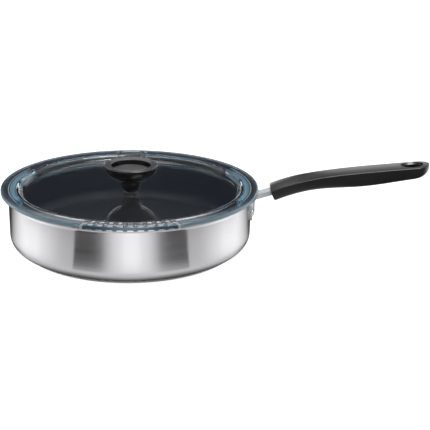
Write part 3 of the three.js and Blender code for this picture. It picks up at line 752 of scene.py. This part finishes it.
side_slot = np.degrees(((POUR_WIDTH + POUR_SIDE_SLOT) / 2 + POUR_RIB) / skirt_out)
pour_span = np.degrees((POUR_WIDTH + 2 * POUR_SIDE_SLOT + 4 * POUR_RIB) / skirt_out)
side_skirts = [(LID_ANGLE, SIDE_SKIRT_SPAN), (LID_ANGLE + 180, SIDE_SKIRT_SPAN)]
channelled_skirts = [(FRONT, COMB_SPAN), (BACK, pour_span)]
slot_angles = [FRONT + (i - (SLOT_COUNT - 1) / 2) * SLOT_PITCH for i in range(SLOT_COUNT)]
slots = [(middle, SLOT_WIDTH) for middle in slot_angles]
slots += [(BACK, POUR_WIDTH), (BACK - side_slot, POUR_SIDE_SLOT), (BACK + side_slot, POUR_SIDE_SLOT)]


def flange_under(radius, turn):
    """Height of the flange's underside: flat, lower where a skirt hangs, arched up along each channel."""
    soft = np.degrees(SKIRT_SOFT / skirt_out)
    in_skirt = window(radius - (skirt_in + skirt_out) / 2, SKIRT_THICK / 2 - SKIRT_SOFT, SKIRT_SOFT)
    drop = np.zeros(np.broadcast(radius, turn).shape)
    for middle, span in side_skirts + channelled_skirts:
        drop = np.maximum(drop, in_skirt * window(away(turn, middle), span / 2 - soft, soft))
    height = flange_low - SKIRT_DROP * drop
    fillet = np.clip(1 - np.clip(radius - skirt_out, 0, None) / SKIRT_FILLET, 0, 1) ** 2
    for middle, span in side_skirts:
        beside = window(away(turn, middle), span / 2 - soft, soft) * (radius > skirt_out - SKIRT_SOFT)
        height = np.minimum(height, flange_low - SKIRT_FILLET * fillet * beside)
    roof = FLANGE_THICK - SLOT_ROOF
    for middle, width in slots:
        lean = np.radians(away(turn, middle))
        aside = np.abs(radius * np.sin(lean))
        crown = min(width / 2, roof)
        lift = np.sqrt(np.clip(1 - (np.clip(aside - width / 2 + crown, 0, None) / crown) ** 2, 0, 1))
        inside = (np.cos(lean) > 0) * (aside < width / 2)
        opened = inside * eased((radius - skirt_in + SLOT_START) / SLOT_START)
        arched = np.maximum(height, height + (flange_low + roof * lift - height) * opened)
        height = np.where(opened > 0, arched, height)
    drop = LIP_DROP + (COMB_LIP_DROP - LIP_DROP) * window(away(turn, FRONT), COMB_SPAN / 2, COMB_LIP_SOFT)
    return height - drop * eased((radius - rim_radius - LIP_STEP) / LIP_STEP)


samples = [np.arange(0, 360, LID_STEP)]
for middle, span in side_skirts:
    samples += [middle + span / 2 * s + SKIRT_ENDS for s in (-1, 1)]
for middle, span in channelled_skirts:
    samples.append(middle + np.arange(-span / 2 - 1, span / 2 + 1, COMB_STEP))
turn = np.unique(np.round(np.concatenate(samples) % 360, 3))

under_plate = np.concatenate([
    [[LID_BORE, lid_low[2]]],
    arc(*plate_centre, plate_bend + GLASS_THICK, -90, PLATE_SLOPE - 90, PLATE_STEPS),
])
under_dish = np.concatenate([
    arc(*bend_centre, under_bend, PLATE_SLOPE - 90, DISH_SLOPE - 90)[1:],
    [under_wall + wall_along * (flange_low - under_wall[1]) / wall_along[1]],
])
under_flange = np.linspace(under_dish[-1, 0] + FLANGE_START, lid_radius - LID_EDGE, FLANGE_RINGS)
edge_turn = np.radians(np.linspace(-90, 90, LIP_RINGS))[1:-1, None]
over_flange = np.linspace([lid_radius - LID_EDGE, flange_top], [dish_edge, flange_top], FLANGE_TOP_RINGS)
over_lip = arc(*lip_centre, DISH_LIP, 90, 90 + DISH_SLOPE)[1:]
over_dish = arc(*bend_centre, DISH_BEND, DISH_SLOPE - 90, PLATE_SLOPE - 90)
over_plate = np.concatenate([
    arc(*plate_centre, plate_bend, PLATE_SLOPE - 90, -90, PLATE_STEPS)[1:],
    [[LID_BORE, plate_centre[1] - plate_bend]],
])


def ring_band(profile):
    """A profile of radius and height as arrays over every turn."""
    return [np.broadcast_to(profile[:, i, None], (len(profile), len(turn))) for i in (0, 1)]


flange_radius = np.broadcast_to(under_flange[:, None], (len(under_flange), len(turn)))
flange_height = flange_under(flange_radius, turn)
lip_low = flange_height[-1]
lip_radius = lid_radius - LID_EDGE + LID_EDGE * np.cos(edge_turn) + 0 * turn
lip_height = (flange_top + lip_low) / 2 + (flange_top - lip_low) / 2 * np.sin(edge_turn)
bands = [ring_band(profile) for profile in (under_plate, under_dish)]
bands += [(flange_radius, flange_height), (lip_radius, lip_height)]
bands += [ring_band(profile) for profile in (over_flange, over_lip, over_dish, over_plate)]
radius = np.concatenate([band[0] for band in bands])
height = np.concatenate([band[1] for band in bands])
lid_x = radius * np.cos(np.radians(turn))
lid_y = radius * np.sin(np.radians(turn))
lid_points = np.stack([lid_x, lid_y, height], axis=2).reshape(-1, 3)
lid = smooth_piece("lid", lid_points, grid_faces(len(radius), len(turn), True, True), LID_SHARP)

# The glass itself: clear and faintly green-blue through its thickness, with a painted pale to deep blue
# glow where the lip and the skirts gather light, and painted white glints on the comb's windows, ribs and
# skirt feet.
GLASS_TINT = (0.45, 0.74, 0.88, 1)
GLASS_DENSITY = 35
GLASS_BEND = 1.5
RIPPLE_GRAIN = 35
RIPPLE_DEPTH = 0.05
PAINTED_GLOW_PALE = (0.4, 0.56, 0.65, 1)
PAINTED_GLOW_DEEP = (0.03, 0.1, 0.16, 1)
BLUE_ROUGHNESS = 0.15
PAINTED_GLINT_WHITE = (0.6, 0.6, 0.61, 1)
PAINTED_GLINT_ROUGHNESS = 0.5
LIP_PAINTED_GLOW = [(0, 1.0), (21, 1.0), (23, 0.6), (50, 0.85), (100, 1.0), (180, 1.0)]
LIP_DEPTH = [
    (0, 0.55), (4, 0.6), (9, 0.9), (12, 1.0), (20.5, 1.0), (21, 0.4), (60, 0.2), (140, 0.2), (180, 0.6),
]
LIP_GLOW_START = 0.4
LIP_GLOW_SOFT = 0.5
LIP_FOOT = 0.1
LIP_FOOT_FROM = 40
FLANGE_PAINTED_GLOW = [(0, 0.0), (21, 0.0), (22, 0.3), (55, 0.3), (75, 0.0), (180, 0.0)]
FLANGE_GLOW_HALF = 4
FLANGE_GLOW_SOFT = 1
FLANGE_DEPTH = 0.4
SKIRT_PAINTED_GLOW = 0.85
SKIRT_GLOW_DROP = 1.2
SKIRT_GLOW_SOFT = 9
GAP_PAINTED_GLOW = 0.45
UPPER_SKIN = 0.2
GLINT_RING = 5.6
GLINT_HALF = 2.0
GLINT_SOFT = 0.5
GLINT_SIDE = 0.8
GLINT_LEVEL = 0.9
POST_INSET = 0.6
POST_HALF = 0.5
POST_START = 1
RIB_INSET = 0.3
RIB_HALF = 0.4
LINE_HALF = 0.3
LINE_SOFT = 0.3
LINE_LEVEL = 0.8


def read(table, at):
    """A table of pairs read at some values, straight between its pairs."""
    return np.interp(at, *np.array(table).T)


below = height < flange_top - UPPER_SKIN
from_front = np.abs(away(turn, FRONT))
aside = np.abs(radius * np.sin(np.radians(from_front)))
gap_half = POUR_WIDTH / 2 + POUR_RIB + POUR_SIDE_SLOT
behind = (from_front > 90) * (radius > skirt_out) * below
in_gap = (aside < gap_half) * behind
in_side = np.abs(from_front - 90) < SIDE_SKIRT_SPAN / 2
# Painted glow: where the lip, the flange, the side skirts and the pour gap gather light, a blue surface is
# mixed in.
on_lip = eased((radius - rim_radius + LIP_GLOW_START) / LIP_GLOW_SOFT) * below
on_flange = window(radius - (skirt_out + lid_radius) / 2, FLANGE_GLOW_HALF, FLANGE_GLOW_SOFT) * below
on_skirt = eased((flange_low - height) / SKIRT_GLOW_DROP)
on_skirt = on_skirt * (radius > skirt_in) * (radius < skirt_out + SKIRT_FILLET)
in_crescent = window(from_front - 90, SIDE_SKIRT_SPAN / 2 - SKIRT_GLOW_SOFT, SKIRT_GLOW_SOFT)
painted_glow = np.maximum(on_lip * read(LIP_PAINTED_GLOW, from_front), on_flange * read(FLANGE_PAINTED_GLOW, from_front))
painted_glow = np.maximum(painted_glow, on_skirt * in_crescent * SKIRT_PAINTED_GLOW)
painted_glow = np.maximum(painted_glow, in_gap * GAP_PAINTED_GLOW)

lip_foot = on_lip * (radius < lid_radius - LID_EDGE + LIP_FOOT) * (from_front > LIP_FOOT_FROM)
deep = np.maximum(on_lip * read(LIP_DEPTH, from_front), lip_foot)
deep = np.maximum(np.where(on_flange > 0, np.maximum(deep, FLANGE_DEPTH), deep), in_gap)

# Painted glints: white on the comb's windows, its end posts, the pour ribs and the skirts' feet, where
# light glints in the glass.
slot_across = radius * np.radians(np.abs(away(turn[:, None], np.array(slot_angles))).min(axis=1))
panes = below * window(radius - skirt_out - GLINT_RING, GLINT_HALF, GLINT_SOFT)
panes = panes * window(slot_across, SLOT_WIDTH / 2 - GLINT_SIDE, GLINT_SOFT)
posts = window(from_front - COMB_SPAN / 2 + POST_INSET, POST_HALF, LINE_SOFT)
posts = posts * below * (radius > skirt_out + POST_START)
from_rib = np.minimum(np.abs(aside - POUR_WIDTH / 2 - RIB_INSET), np.abs(aside - gap_half))
ribs = window(from_rib, RIB_HALF, LINE_SOFT) * behind
skirt_feet = window(radius - skirt_out - SKIRT_FILLET, LINE_HALF, LINE_SOFT) * below * in_side
painted_glint = np.maximum(panes * GLINT_LEVEL, posts * LINE_LEVEL)
painted_glint = np.maximum(np.maximum(painted_glint, ribs * LINE_LEVEL), skirt_feet)
for name, share in (("painted_glow", painted_glow), ("deep", deep), ("painted_glint", painted_glint)):
    share = np.broadcast_to(share, radius.shape)
    lid.data.attributes.new(name, "FLOAT", "POINT").data.foreach_set("value", share.ravel())

glass, tree, place = material("pressed_glass")
clear = tree.node("BsdfPrincipled", {
    "Base Color": (1, 1, 1, 1),
    "Roughness": 0.0,
    "IOR": GLASS_BEND,
    "Transmission Weight": 1.0,
    "Normal": place.noise(RIPPLE_GRAIN).bump(RIPPLE_DEPTH),
})
painted_glow, deep, painted_glint = (
    tree.node("Attribute", {}, "Fac", attribute_name=name) for name in ("painted_glow", "deep", "painted_glint")
)
# Painted glow: a lit pale to deep blue surface mixed into the glass stands in for light gathered in its
# edges.
bluish = {"Base Color": deep.mixed(PAINTED_GLOW_PALE, PAINTED_GLOW_DEEP), "Roughness": BLUE_ROUGHNESS}
blue = tree.node("BsdfPrincipled", bluish)
# Painted glints: a rough white surface mixed into the glass stands in for its bright reflections.
glint_shader = tree.node("BsdfPrincipled", {"Base Color": PAINTED_GLINT_WHITE, "Roughness": PAINTED_GLINT_ROUGHNESS})
shader = tree.node("MixShader", {0: painted_glow, 1: clear, 2: blue})
shader = tree.node("MixShader", {0: painted_glint, 1: shader, 2: glint_shader})
absorbed = tree.node("VolumeAbsorption", {"Color": GLASS_TINT, "Density": GLASS_DENSITY})
tree.node("OutputMaterial", {"Surface": shader, "Volume": absorbed})
dress(lid, "lid", "glass", glass, "lid_glass")
lid.visible_shadow = False

# Knob: a phenolic bowl moulded on a waisted stem round a threaded insert, hollow in its top, where a grey
# disc lies. It is glossier than the grip, and its rim is painted grey as a highlight.
STEM_FOOT = 7.0
STEM_WAIST = 10.0
STEM_WAIST_RISE = 4.2
STEM_NECK = 12.8
STEM_HEIGHT = 13.1
STEM_TURN = 1.0
KNOB_RIM = 1.4
KNOB_DISH = 1.1
BOWL_REACH = 0.5
BOWL_RISE = 2.4
BOWL_FALL = 11.0
BOWL_LEAN = 1.0
RECESS_RADIUS = 21.6
RECESS_FLOOR = 20.2
RECESS_DEPTH = 7.2
RECESS_EDGE = 0.6
INSERT_RADIUS = 4.0
INSERT_LENGTH = 15.0
SEAT = 0.3
KNOB_SIDES = 160
KNOB_ROUGHNESS = 0.1
KNOB_PEBBLE = 0.004
KNOB_HIGHLIGHT_BAND = 0.9

knob_low, knob_high = node_box("knob")
knob_radius = knob_high[0]
stem_low = knob_low[2]
knob_top = knob_high[2]
neck_height = stem_low + STEM_HEIGHT
insert_top = stem_low + INSERT_LENGTH + SEAT
recess_floor = knob_top - RECESS_DEPTH
stem = bezier(
    (STEM_WAIST, stem_low + STEM_WAIST_RISE),
    (STEM_WAIST, neck_height - STEM_TURN),
    (STEM_NECK, neck_height),
)
bowl = bezier(
    (STEM_NECK, neck_height),
    (STEM_NECK + (knob_radius - STEM_NECK) * BOWL_REACH, neck_height + BOWL_RISE),
    (knob_radius - BOWL_LEAN, knob_top - BOWL_FALL),
    (knob_radius, knob_top - KNOB_RIM),
)
knob_skin = np.concatenate([
    [[0, insert_top], [INSERT_RADIUS + SEAT, insert_top], [INSERT_RADIUS + SEAT, stem_low]],
    [[STEM_FOOT, stem_low]],
    stem,
    bowl[1:],
    arc(knob_radius - KNOB_RIM, knob_top - KNOB_RIM, KNOB_RIM, 0, 90)[1:],
    arc(RECESS_RADIUS + RECESS_EDGE, knob_top - KNOB_DISH - RECESS_EDGE, RECESS_EDGE, 80, 180, 5),
    [[RECESS_FLOOR, recess_floor], [0, recess_floor]],
])
# The rim above the knob's dish gets the painted grey highlight.
highlight_from = knob_top - KNOB_DISH - KNOB_HIGHLIGHT_BAND
knob_phenolic = satin_phenolic("knob_phenolic", KNOB_ROUGHNESS, KNOB_PEBBLE, highlight_from)
dress(turned("lid_knob", knob_skin, KNOB_SIDES), "lid", "phenolic", knob_phenolic, "knob")

# Knob disc: a thin plain disc of satin grey plastic, let into the knob's hollow.
# Its face is turned, which leaves fine rings.
DISC_EDGE = 0.3
DISC_EDGE_STEPS = 4
DISC_GRAIN = (2600, 1, 1)
DISC_LOOK = {
    "dark": (0.07, 0.07, 0.073, 1), "light": (0.1, 0.1, 0.104, 1),
    "metal": 0.3, "roughness": 0.4, "spread": 0.1, "depth": 0.01,
}

disc_low, disc_high = node_box("knob_disc")
inlay, tree, place = material("grey_inlay")
x, y = (place.node("SeparateXYZ", {"Vector": place}, axis) for axis in "XY")
ring = (x * x + y * y) ** 0.5
grained(place.node("CombineXYZ", {"X": ring}).noise(DISC_GRAIN), **DISC_LOOK)
disc_skin = np.concatenate([
    [[0, disc_low[2]], [disc_high[0], disc_low[2]]],
    arc(disc_high[0] - DISC_EDGE, disc_high[2] - DISC_EDGE, DISC_EDGE, 0, 90, DISC_EDGE_STEPS),
    [[0, disc_high[2]]],
])
dress(turned("inlay_disc", disc_skin, KNOB_SIDES), "lid", "inlay", inlay, "knob_disc")

# Knob foot: a bright steel ferrule on a silicone gasket, with a washer, a second gasket and a screw under
# the glass that pull up into a brass insert in the knob.
FERRULE_RADIUS = 6.5
FERRULE_EDGE = 0.4
GASKET_EDGE = 0.2
WASHER_EDGE = 0.3
WASHER_EDGE_STEPS = 4
SCREW_SHANK = 2.5
SCREW_BORE = 2.8
SCREW_HEAD = 4.8
SCREW_EDGE = 1.6
SCREW_EDGE_STEPS = 8
FOOT_SIDES = 96
FERRULE_STEEL = (0.6, 0.63, 0.66, 1)
FERRULE_ROUGHNESS = 0.06
WIPE_GRAIN = (200, 200, 900)
SILICONE_GRAIN = 900
SILICONE_LOOK = {
    "dark": (0.03, 0.03, 0.032, 1), "light": (0.06, 0.06, 0.063, 1),
    "metal": 0.0, "roughness": 0.55, "spread": 0.15, "depth": 0.02,
}
BRASS_GRAIN = (60, 60, 2500)
BRASS_LOOK = {
    "dark": (0.58, 0.43, 0.18, 1), "light": (0.72, 0.56, 0.26, 1),
    "metal": 1.0, "roughness": 0.28, "spread": 0.1, "depth": 0.01,
}

polished, tree, place = material("polished_steel")
surface(tree, {
    "Base Color": FERRULE_STEEL,
    "Metallic": 1.0,
    "Roughness": FERRULE_ROUGHNESS + place.noise(WIPE_GRAIN) * FERRULE_ROUGHNESS,
})
silicone, tree, place = material("silicone")
grained(place.noise(SILICONE_GRAIN), **SILICONE_LOOK)
brass, tree, place = material("turned_brass")
grained(place.noise(BRASS_GRAIN), **BRASS_LOOK)


def washer(name, node, bore, edge, radius=None, lift=0):
    """A flat ring over a CAD node's height, from a bore to a radius or the node's, with round outer edges.

    A lift keeps its underside clear of what it stands on.
    """
    low, high = node_box(node)
    low[2] += lift
    reach = (radius or high[0]) - edge
    profile = np.concatenate([
        [[bore, low[2]]],
        arc(reach, low[2] + edge, edge, -90, 0, WASHER_EDGE_STEPS),
        arc(reach, high[2] - edge, edge, 0, 90, WASHER_EDGE_STEPS),
        [[bore, high[2]]],
    ])
    return turned(name, profile, FOOT_SIDES, ring=True)


ferrule = washer("ferrule", "knob_ferrule", SCREW_BORE, FERRULE_EDGE, FERRULE_RADIUS)
dress(ferrule, "knob_foot", "brushed_steel", polished, "knob_ferrule")
for node in ("upper_gasket", "lower_gasket"):
    seal = washer(node.replace("gasket", "seal"), node, LID_BORE, GASKET_EDGE)
    dress(seal, "knob_foot", "silicone", silicone, node)
screw_washer = washer("screw_washer", "lid_washer", SCREW_BORE, WASHER_EDGE)
dress(screw_washer, "knob_foot", "brushed_steel", bright_steel, "lid_washer")
insert = washer("brass_insert", "knob_insert", SCREW_BORE, WASHER_EDGE, lift=SEAT)
dress(insert, "lid", "brass", brass, "knob_insert")

screw_low, screw_high = (corner[2] for corner in node_box("lid_screw"))
washer_low = node_box("lid_washer")[0][2]
screw_skin = np.concatenate([
    [[0, screw_low]],
    arc(SCREW_HEAD - SCREW_EDGE, screw_low + SCREW_EDGE, SCREW_EDGE, -90, 0, SCREW_EDGE_STEPS),
    [[SCREW_HEAD, washer_low], [SCREW_SHANK, washer_low], [SCREW_SHANK, screw_high], [0, screw_high]],
])
dress(turned("knob_screw", screw_skin, FOOT_SIDES), "lid", "brushed_steel", bright_steel, "lid_screw")

# Stage: a white floor in an even white surround, with one soft lamp overhead. The rest is in metres and is
# seen only in reflections: a tent of light and dark strips that lies round the pan, a dark room behind with
# pale panels, a sheet under its roof, a dim dome with a narrow light in front, and a light over the grip.
FLOOR_SIZE = 12.0
FLOOR_GREY = (0.4, 0.4, 0.4, 1)
FLOOR_GLOW = 0.95
WORLD_LIGHT = 0.6
WHITE = (1, 1, 1, 1)
TENT_GAZE = 5.45
TENT_START = 0.121
TENT_LIFT = 0.0005
TENT_STEP = 1.5
TENT_ROWS = [(0, 0.1, 51), (0.11, 0.2, 16), (0.24, 0.5, 6), (0.54, 0.9, 12)]
CONTACT_SHADOW_LEVELS = [(0, 0.02), (0.004, 0.05), (0.009, 0.2), (0.014, 0.5), (0.02, 0.66), (0.05, 0.7)]
CONTACT_SPREAD = 0.45
CONTACT_SIDE = 50
CONTACT_ENDS = [(105, 1), (135, 0.05)]
STRIP_LEVELS = [
    (0, 1.16), (5, 1.14), (9, 0.98), (15, 0.8), (21, 0.5), (26, 0.2), (31, 0.09), (37, 0.05), (43, 0.045),
    (50.3, 0.06), (51.0, 0.55), (61, 0.61), (67, 0.7), (73, 0.82), (79, 0.94), (85, 1.04), (92, 1.18),
    (110, 1.2), (120, 1.0), (130, 0.72), (138, 0.42), (145, 0.12), (150, 0.02), (180, 0.0),
]
STRIPS_START = 0.05
STRIPS_SOFT = 0.012
FAR_LEVELS = [
    (0, 1.1), (15, 0.9), (26, 0.4), (34, 0.2), (104, 0.2), (116, 1.0), (128, 0.6), (140, 0.05), (180, 0.0),
]
FAR_START = 0.165
FARTHEST_LEVELS = [
    (0, 1.1), (15, 0.9), (26, 0.4), (34, 0.2), (84, 0.2), (96, 2.0), (112, 2.0), (128, 0.4), (140, 0.0),
    (180, 0.0),
]
FARTHEST_START = 0.34
FARTHEST_SOFT = 0.08
ROOM_DARK = np.array([0.03, 0.036, 0.05])
ROOM_BACK = 1.0
ROOM_TALL = 1.4
ROOM_ROOF = [(0.6, 2.0), (-1.2, 2.0)]
ROOM_ENDS = ([-3, -1], [1, 3])
PANEL_REACH = 0.6
PANEL_COLUMNS = 49
PANEL_ROWS = 141
PANEL_SOFT = 0.03
# Each panel's left, right, low and high edge, and its level.
ROOM_PANELS = [
    (-0.44, 0.195, 0.455, 0.62, 0.55), (-0.19, 0.0, 0.72, 0.95, 2.8), (-0.4, 0.15, -0.1, 0.2, 1.8),
    (0.24, 0.62, 0.06, 0.3, 0.9), (0.24, 0.62, 0.3, 0.46, 1.5), (0.24, 0.62, 0.46, 0.8, 0.6),
    (-3.1, 3.1, 0.9, 3.0, 0.2),
]
# Each level sheet's left, right, near and far edge, its height and its level.
ROOF_SHEET = (-0.7, 0.9, -0.5, 0.6, 1.6, 1.4)
HAIR_LIGHT = (0.1, 0.75, -0.75, -0.15, 1.0, 16)
BAND_COLUMNS = 45
DIM_REACH = 125
DIM_PATH = [(1.2, 0.0), (1.2, 0.65), (1.0, 1.35), (0.55, 1.75), (0.1, 1.8)]
DIM_LEVELS = [(0, 0.12), (95, 0.12), (125, 0.6)]
FRONT_REACH = 115
FRONT_PATH = [(1.0, 0.8), (0.96, 0.87)]
FRONT_LEVELS = [(0, 7), (40, 6), (75, 2.5), (115, 2)]
LAMP_PLACE = Vector((0.1, 0.35, 1.7))
LAMP_AIM = Vector((0.08, 0, 0.05))
LAMP_SIZE = 1.2
LAMP_WATTS = 14


def staged(name, points, faces, finish):
    """A staging sheet from points in metres and faces, with a material."""
    mesh = bpy.data.meshes.new(name)
    mesh.from_pydata(np.asarray(points, float).tolist(), [], faces)
    mesh.materials.append(finish)
    sheet = bpy.data.objects.new(name, mesh)
    scene.collection.objects.link(sheet)
    return sheet


def level_corners(left, right, near, far, up):
    """The corners of a level rectangle at a height."""
    return [(left, near, up), (right, near, up), (right, far, up), (left, far, up)]


def seen_directly(tree):
    """1 for rays from the camera, and for rays mirrored or let through by the object."""
    kinds = ("Camera", "Glossy", "Transmission")
    direct, mirrored, through = (tree.node("LightPath", {}, "Is %s Ray" % kind) for kind in kinds)
    return tree.math("MAXIMUM", tree.math("MAXIMUM", direct, mirrored), through)


white, tree, place = material("white_floor")
paper = tree.node("BsdfDiffuse", {"Color": FLOOR_GREY})
glow = tree.node("Emission", {"Color": WHITE, "Strength": seen_directly(tree) * FLOOR_GLOW})
tree.node("OutputMaterial", {"Surface": tree.node("AddShader", {0: paper, 1: glow})})
half = FLOOR_SIZE / 2
staged("floor", level_corners(-half, half, -half, half, 0), [(0, 1, 2, 3)], white)

world = bpy.data.worlds.new("studio")
world.use_nodes = True
world.node_tree.nodes.clear()
scene.world = world
sky = Socket(world.node_tree)
level = WORLD_LIGHT + (1 - WORLD_LIGHT) * seen_directly(sky)
sky.node("OutputWorld", {"Surface": sky.node("Background", {"Color": WHITE, "Strength": level})})

cloth, tree, place = material("tent_cloth")
shade = tree.node("Attribute", {}, "Color", attribute_name="shade")
tree.node("OutputMaterial", {"Surface": tree.node("Emission", {"Color": shade})})


def reflected_only(name, points, faces, shade, through_glass):
    """A staging sheet, shaded point by point, seen only in reflections and maybe through glass."""
    shade = np.asarray(shade, float)
    if shade.shape[-1:] != (3,):
        shade = np.repeat(shade.reshape(-1, 1), 3, axis=1)
    shade = np.insert(shade.reshape(-1, 3), 3, 1, axis=1)
    sheet = staged(name, np.reshape(points, (-1, 3)), faces, cloth)
    sheet.data.attributes.new("shade", "FLOAT_COLOR", "POINT").data.foreach_set("color", shade.ravel())
    for kind in ("camera", "diffuse", "volume_scatter", "shadow"):
        setattr(sheet, "visible_" + kind, False)
    sheet.visible_transmission = through_glass


def past(distance, start, soft):
    """0 well before a start and 1 well past it, with an S of a width between."""
    return eased((distance - start) / soft + 0.5)


strip_angles = [angle for angle, level in STRIP_LEVELS]
from_gaze = np.unique(np.concatenate([strip_angles, np.arange(0, 180, TENT_STEP)]))
from_gaze = np.concatenate([-from_gaze[:0:-1], from_gaze])
aside = np.abs(from_gaze)
mirrored = np.radians(TENT_GAZE + from_gaze)
on_wall = np.radians(TENT_GAZE + from_gaze / 2)
outwards = np.concatenate([np.linspace(*row) for row in TENT_ROWS])[:, None]
tent_points = np.stack(np.broadcast_arrays(
    TENT_START * np.sin(on_wall) + outwards * np.sin(mirrored),
    -TENT_START * np.cos(on_wall) - outwards * np.cos(mirrored),
    TENT_LIFT,
), axis=2)
# Painted shadow: the tent is dark close to the pan's foot, standing in for the pan's shadow on the floor as
# the steel reflects it.
contact_reach = 1 + CONTACT_SPREAD * eased(aside / CONTACT_SIDE)
contact_shadow = read(CONTACT_SHADOW_LEVELS, outwards / contact_reach) * read(CONTACT_ENDS, aside)
beyond = past(outwards, STRIPS_START, STRIPS_SOFT)
far = past(outwards, FAR_START, STRIPS_SOFT)
farthest = past(outwards, FARTHEST_START, FARTHEST_SOFT)
far_strips = read(FAR_LEVELS, aside) * (1 - farthest) + read(FARTHEST_LEVELS, aside) * farthest
near_strips = read(STRIP_LEVELS, aside) * beyond
tent_shade = contact_shadow * (1 - beyond) + near_strips * (1 - far) + far_strips * far
tent_faces = grid_faces(len(outwards), len(from_gaze), False, False)
reflected_only("tent", tent_points, tent_faces, tent_shade, False)

room_x = np.concatenate([ROOM_ENDS[0], np.linspace(-PANEL_REACH, PANEL_REACH, PANEL_COLUMNS), ROOM_ENDS[1]])
room_path = np.array([(ROOM_BACK, z) for z in np.linspace(0, ROOM_TALL, PANEL_ROWS)] + ROOM_ROOF)
room_y, room_z = room_path[:, :1], room_path[:, 1:]
room_points = np.stack(np.broadcast_arrays(room_x, room_y, room_z), axis=2)
room_shade = ROOM_DARK + np.zeros(room_points.shape)
for left, right, low, high, level in ROOM_PANELS:
    inside = np.minimum(np.minimum(room_x - left, right - room_x), np.minimum(room_z - low, high - room_z))
    room_shade += level * past(inside, 0, PANEL_SOFT)[:, :, None]
room_faces = grid_faces(len(room_path), len(room_x), False, False)
reflected_only("dark_room", room_points, room_faces, room_shade, True)


def level_sheet(name, sizes, through_glass):
    """A level sheet of one brightness."""
    *edges, level = sizes
    reflected_only(name, level_corners(*edges), [(0, 1, 2, 3)], [level] * 4, through_glass)


def standing_band(name, reach, path, levels, through_glass):
    """A band round the pan in front: a path of distance and height carried to an angle either side."""
    angle = np.linspace(-reach, reach, BAND_COLUMNS)
    turn = np.radians(angle + TENT_GAZE)
    distance, up = np.array(path).T[:, :, None]
    points = np.stack(np.broadcast_arrays(distance * np.sin(turn), -distance * np.cos(turn), up), axis=2)
    shade = np.broadcast_to(read(levels, np.abs(angle)), points.shape[:2])
    reflected_only(name, points, grid_faces(len(path), len(angle), False, False), shade, through_glass)


level_sheet("roof_sheet", ROOF_SHEET, True)
standing_band("dim_front", DIM_REACH, DIM_PATH, DIM_LEVELS, True)
standing_band("front_light", FRONT_REACH, FRONT_PATH, FRONT_LEVELS, False)
level_sheet("hair_light", HAIR_LIGHT, False)

lamp = bpy.data.lights.new("overhead", "AREA")
lamp.size = LAMP_SIZE
lamp.energy = LAMP_WATTS
holder = bpy.data.objects.new("overhead", lamp)
scene.collection.objects.link(holder)
lamp_turn = (LAMP_AIM - LAMP_PLACE).to_track_quat("-Z", "Y").to_matrix().to_4x4()
holder.matrix_world = Matrix.Translation(LAMP_PLACE) @ lamp_turn
holder.visible_camera = False
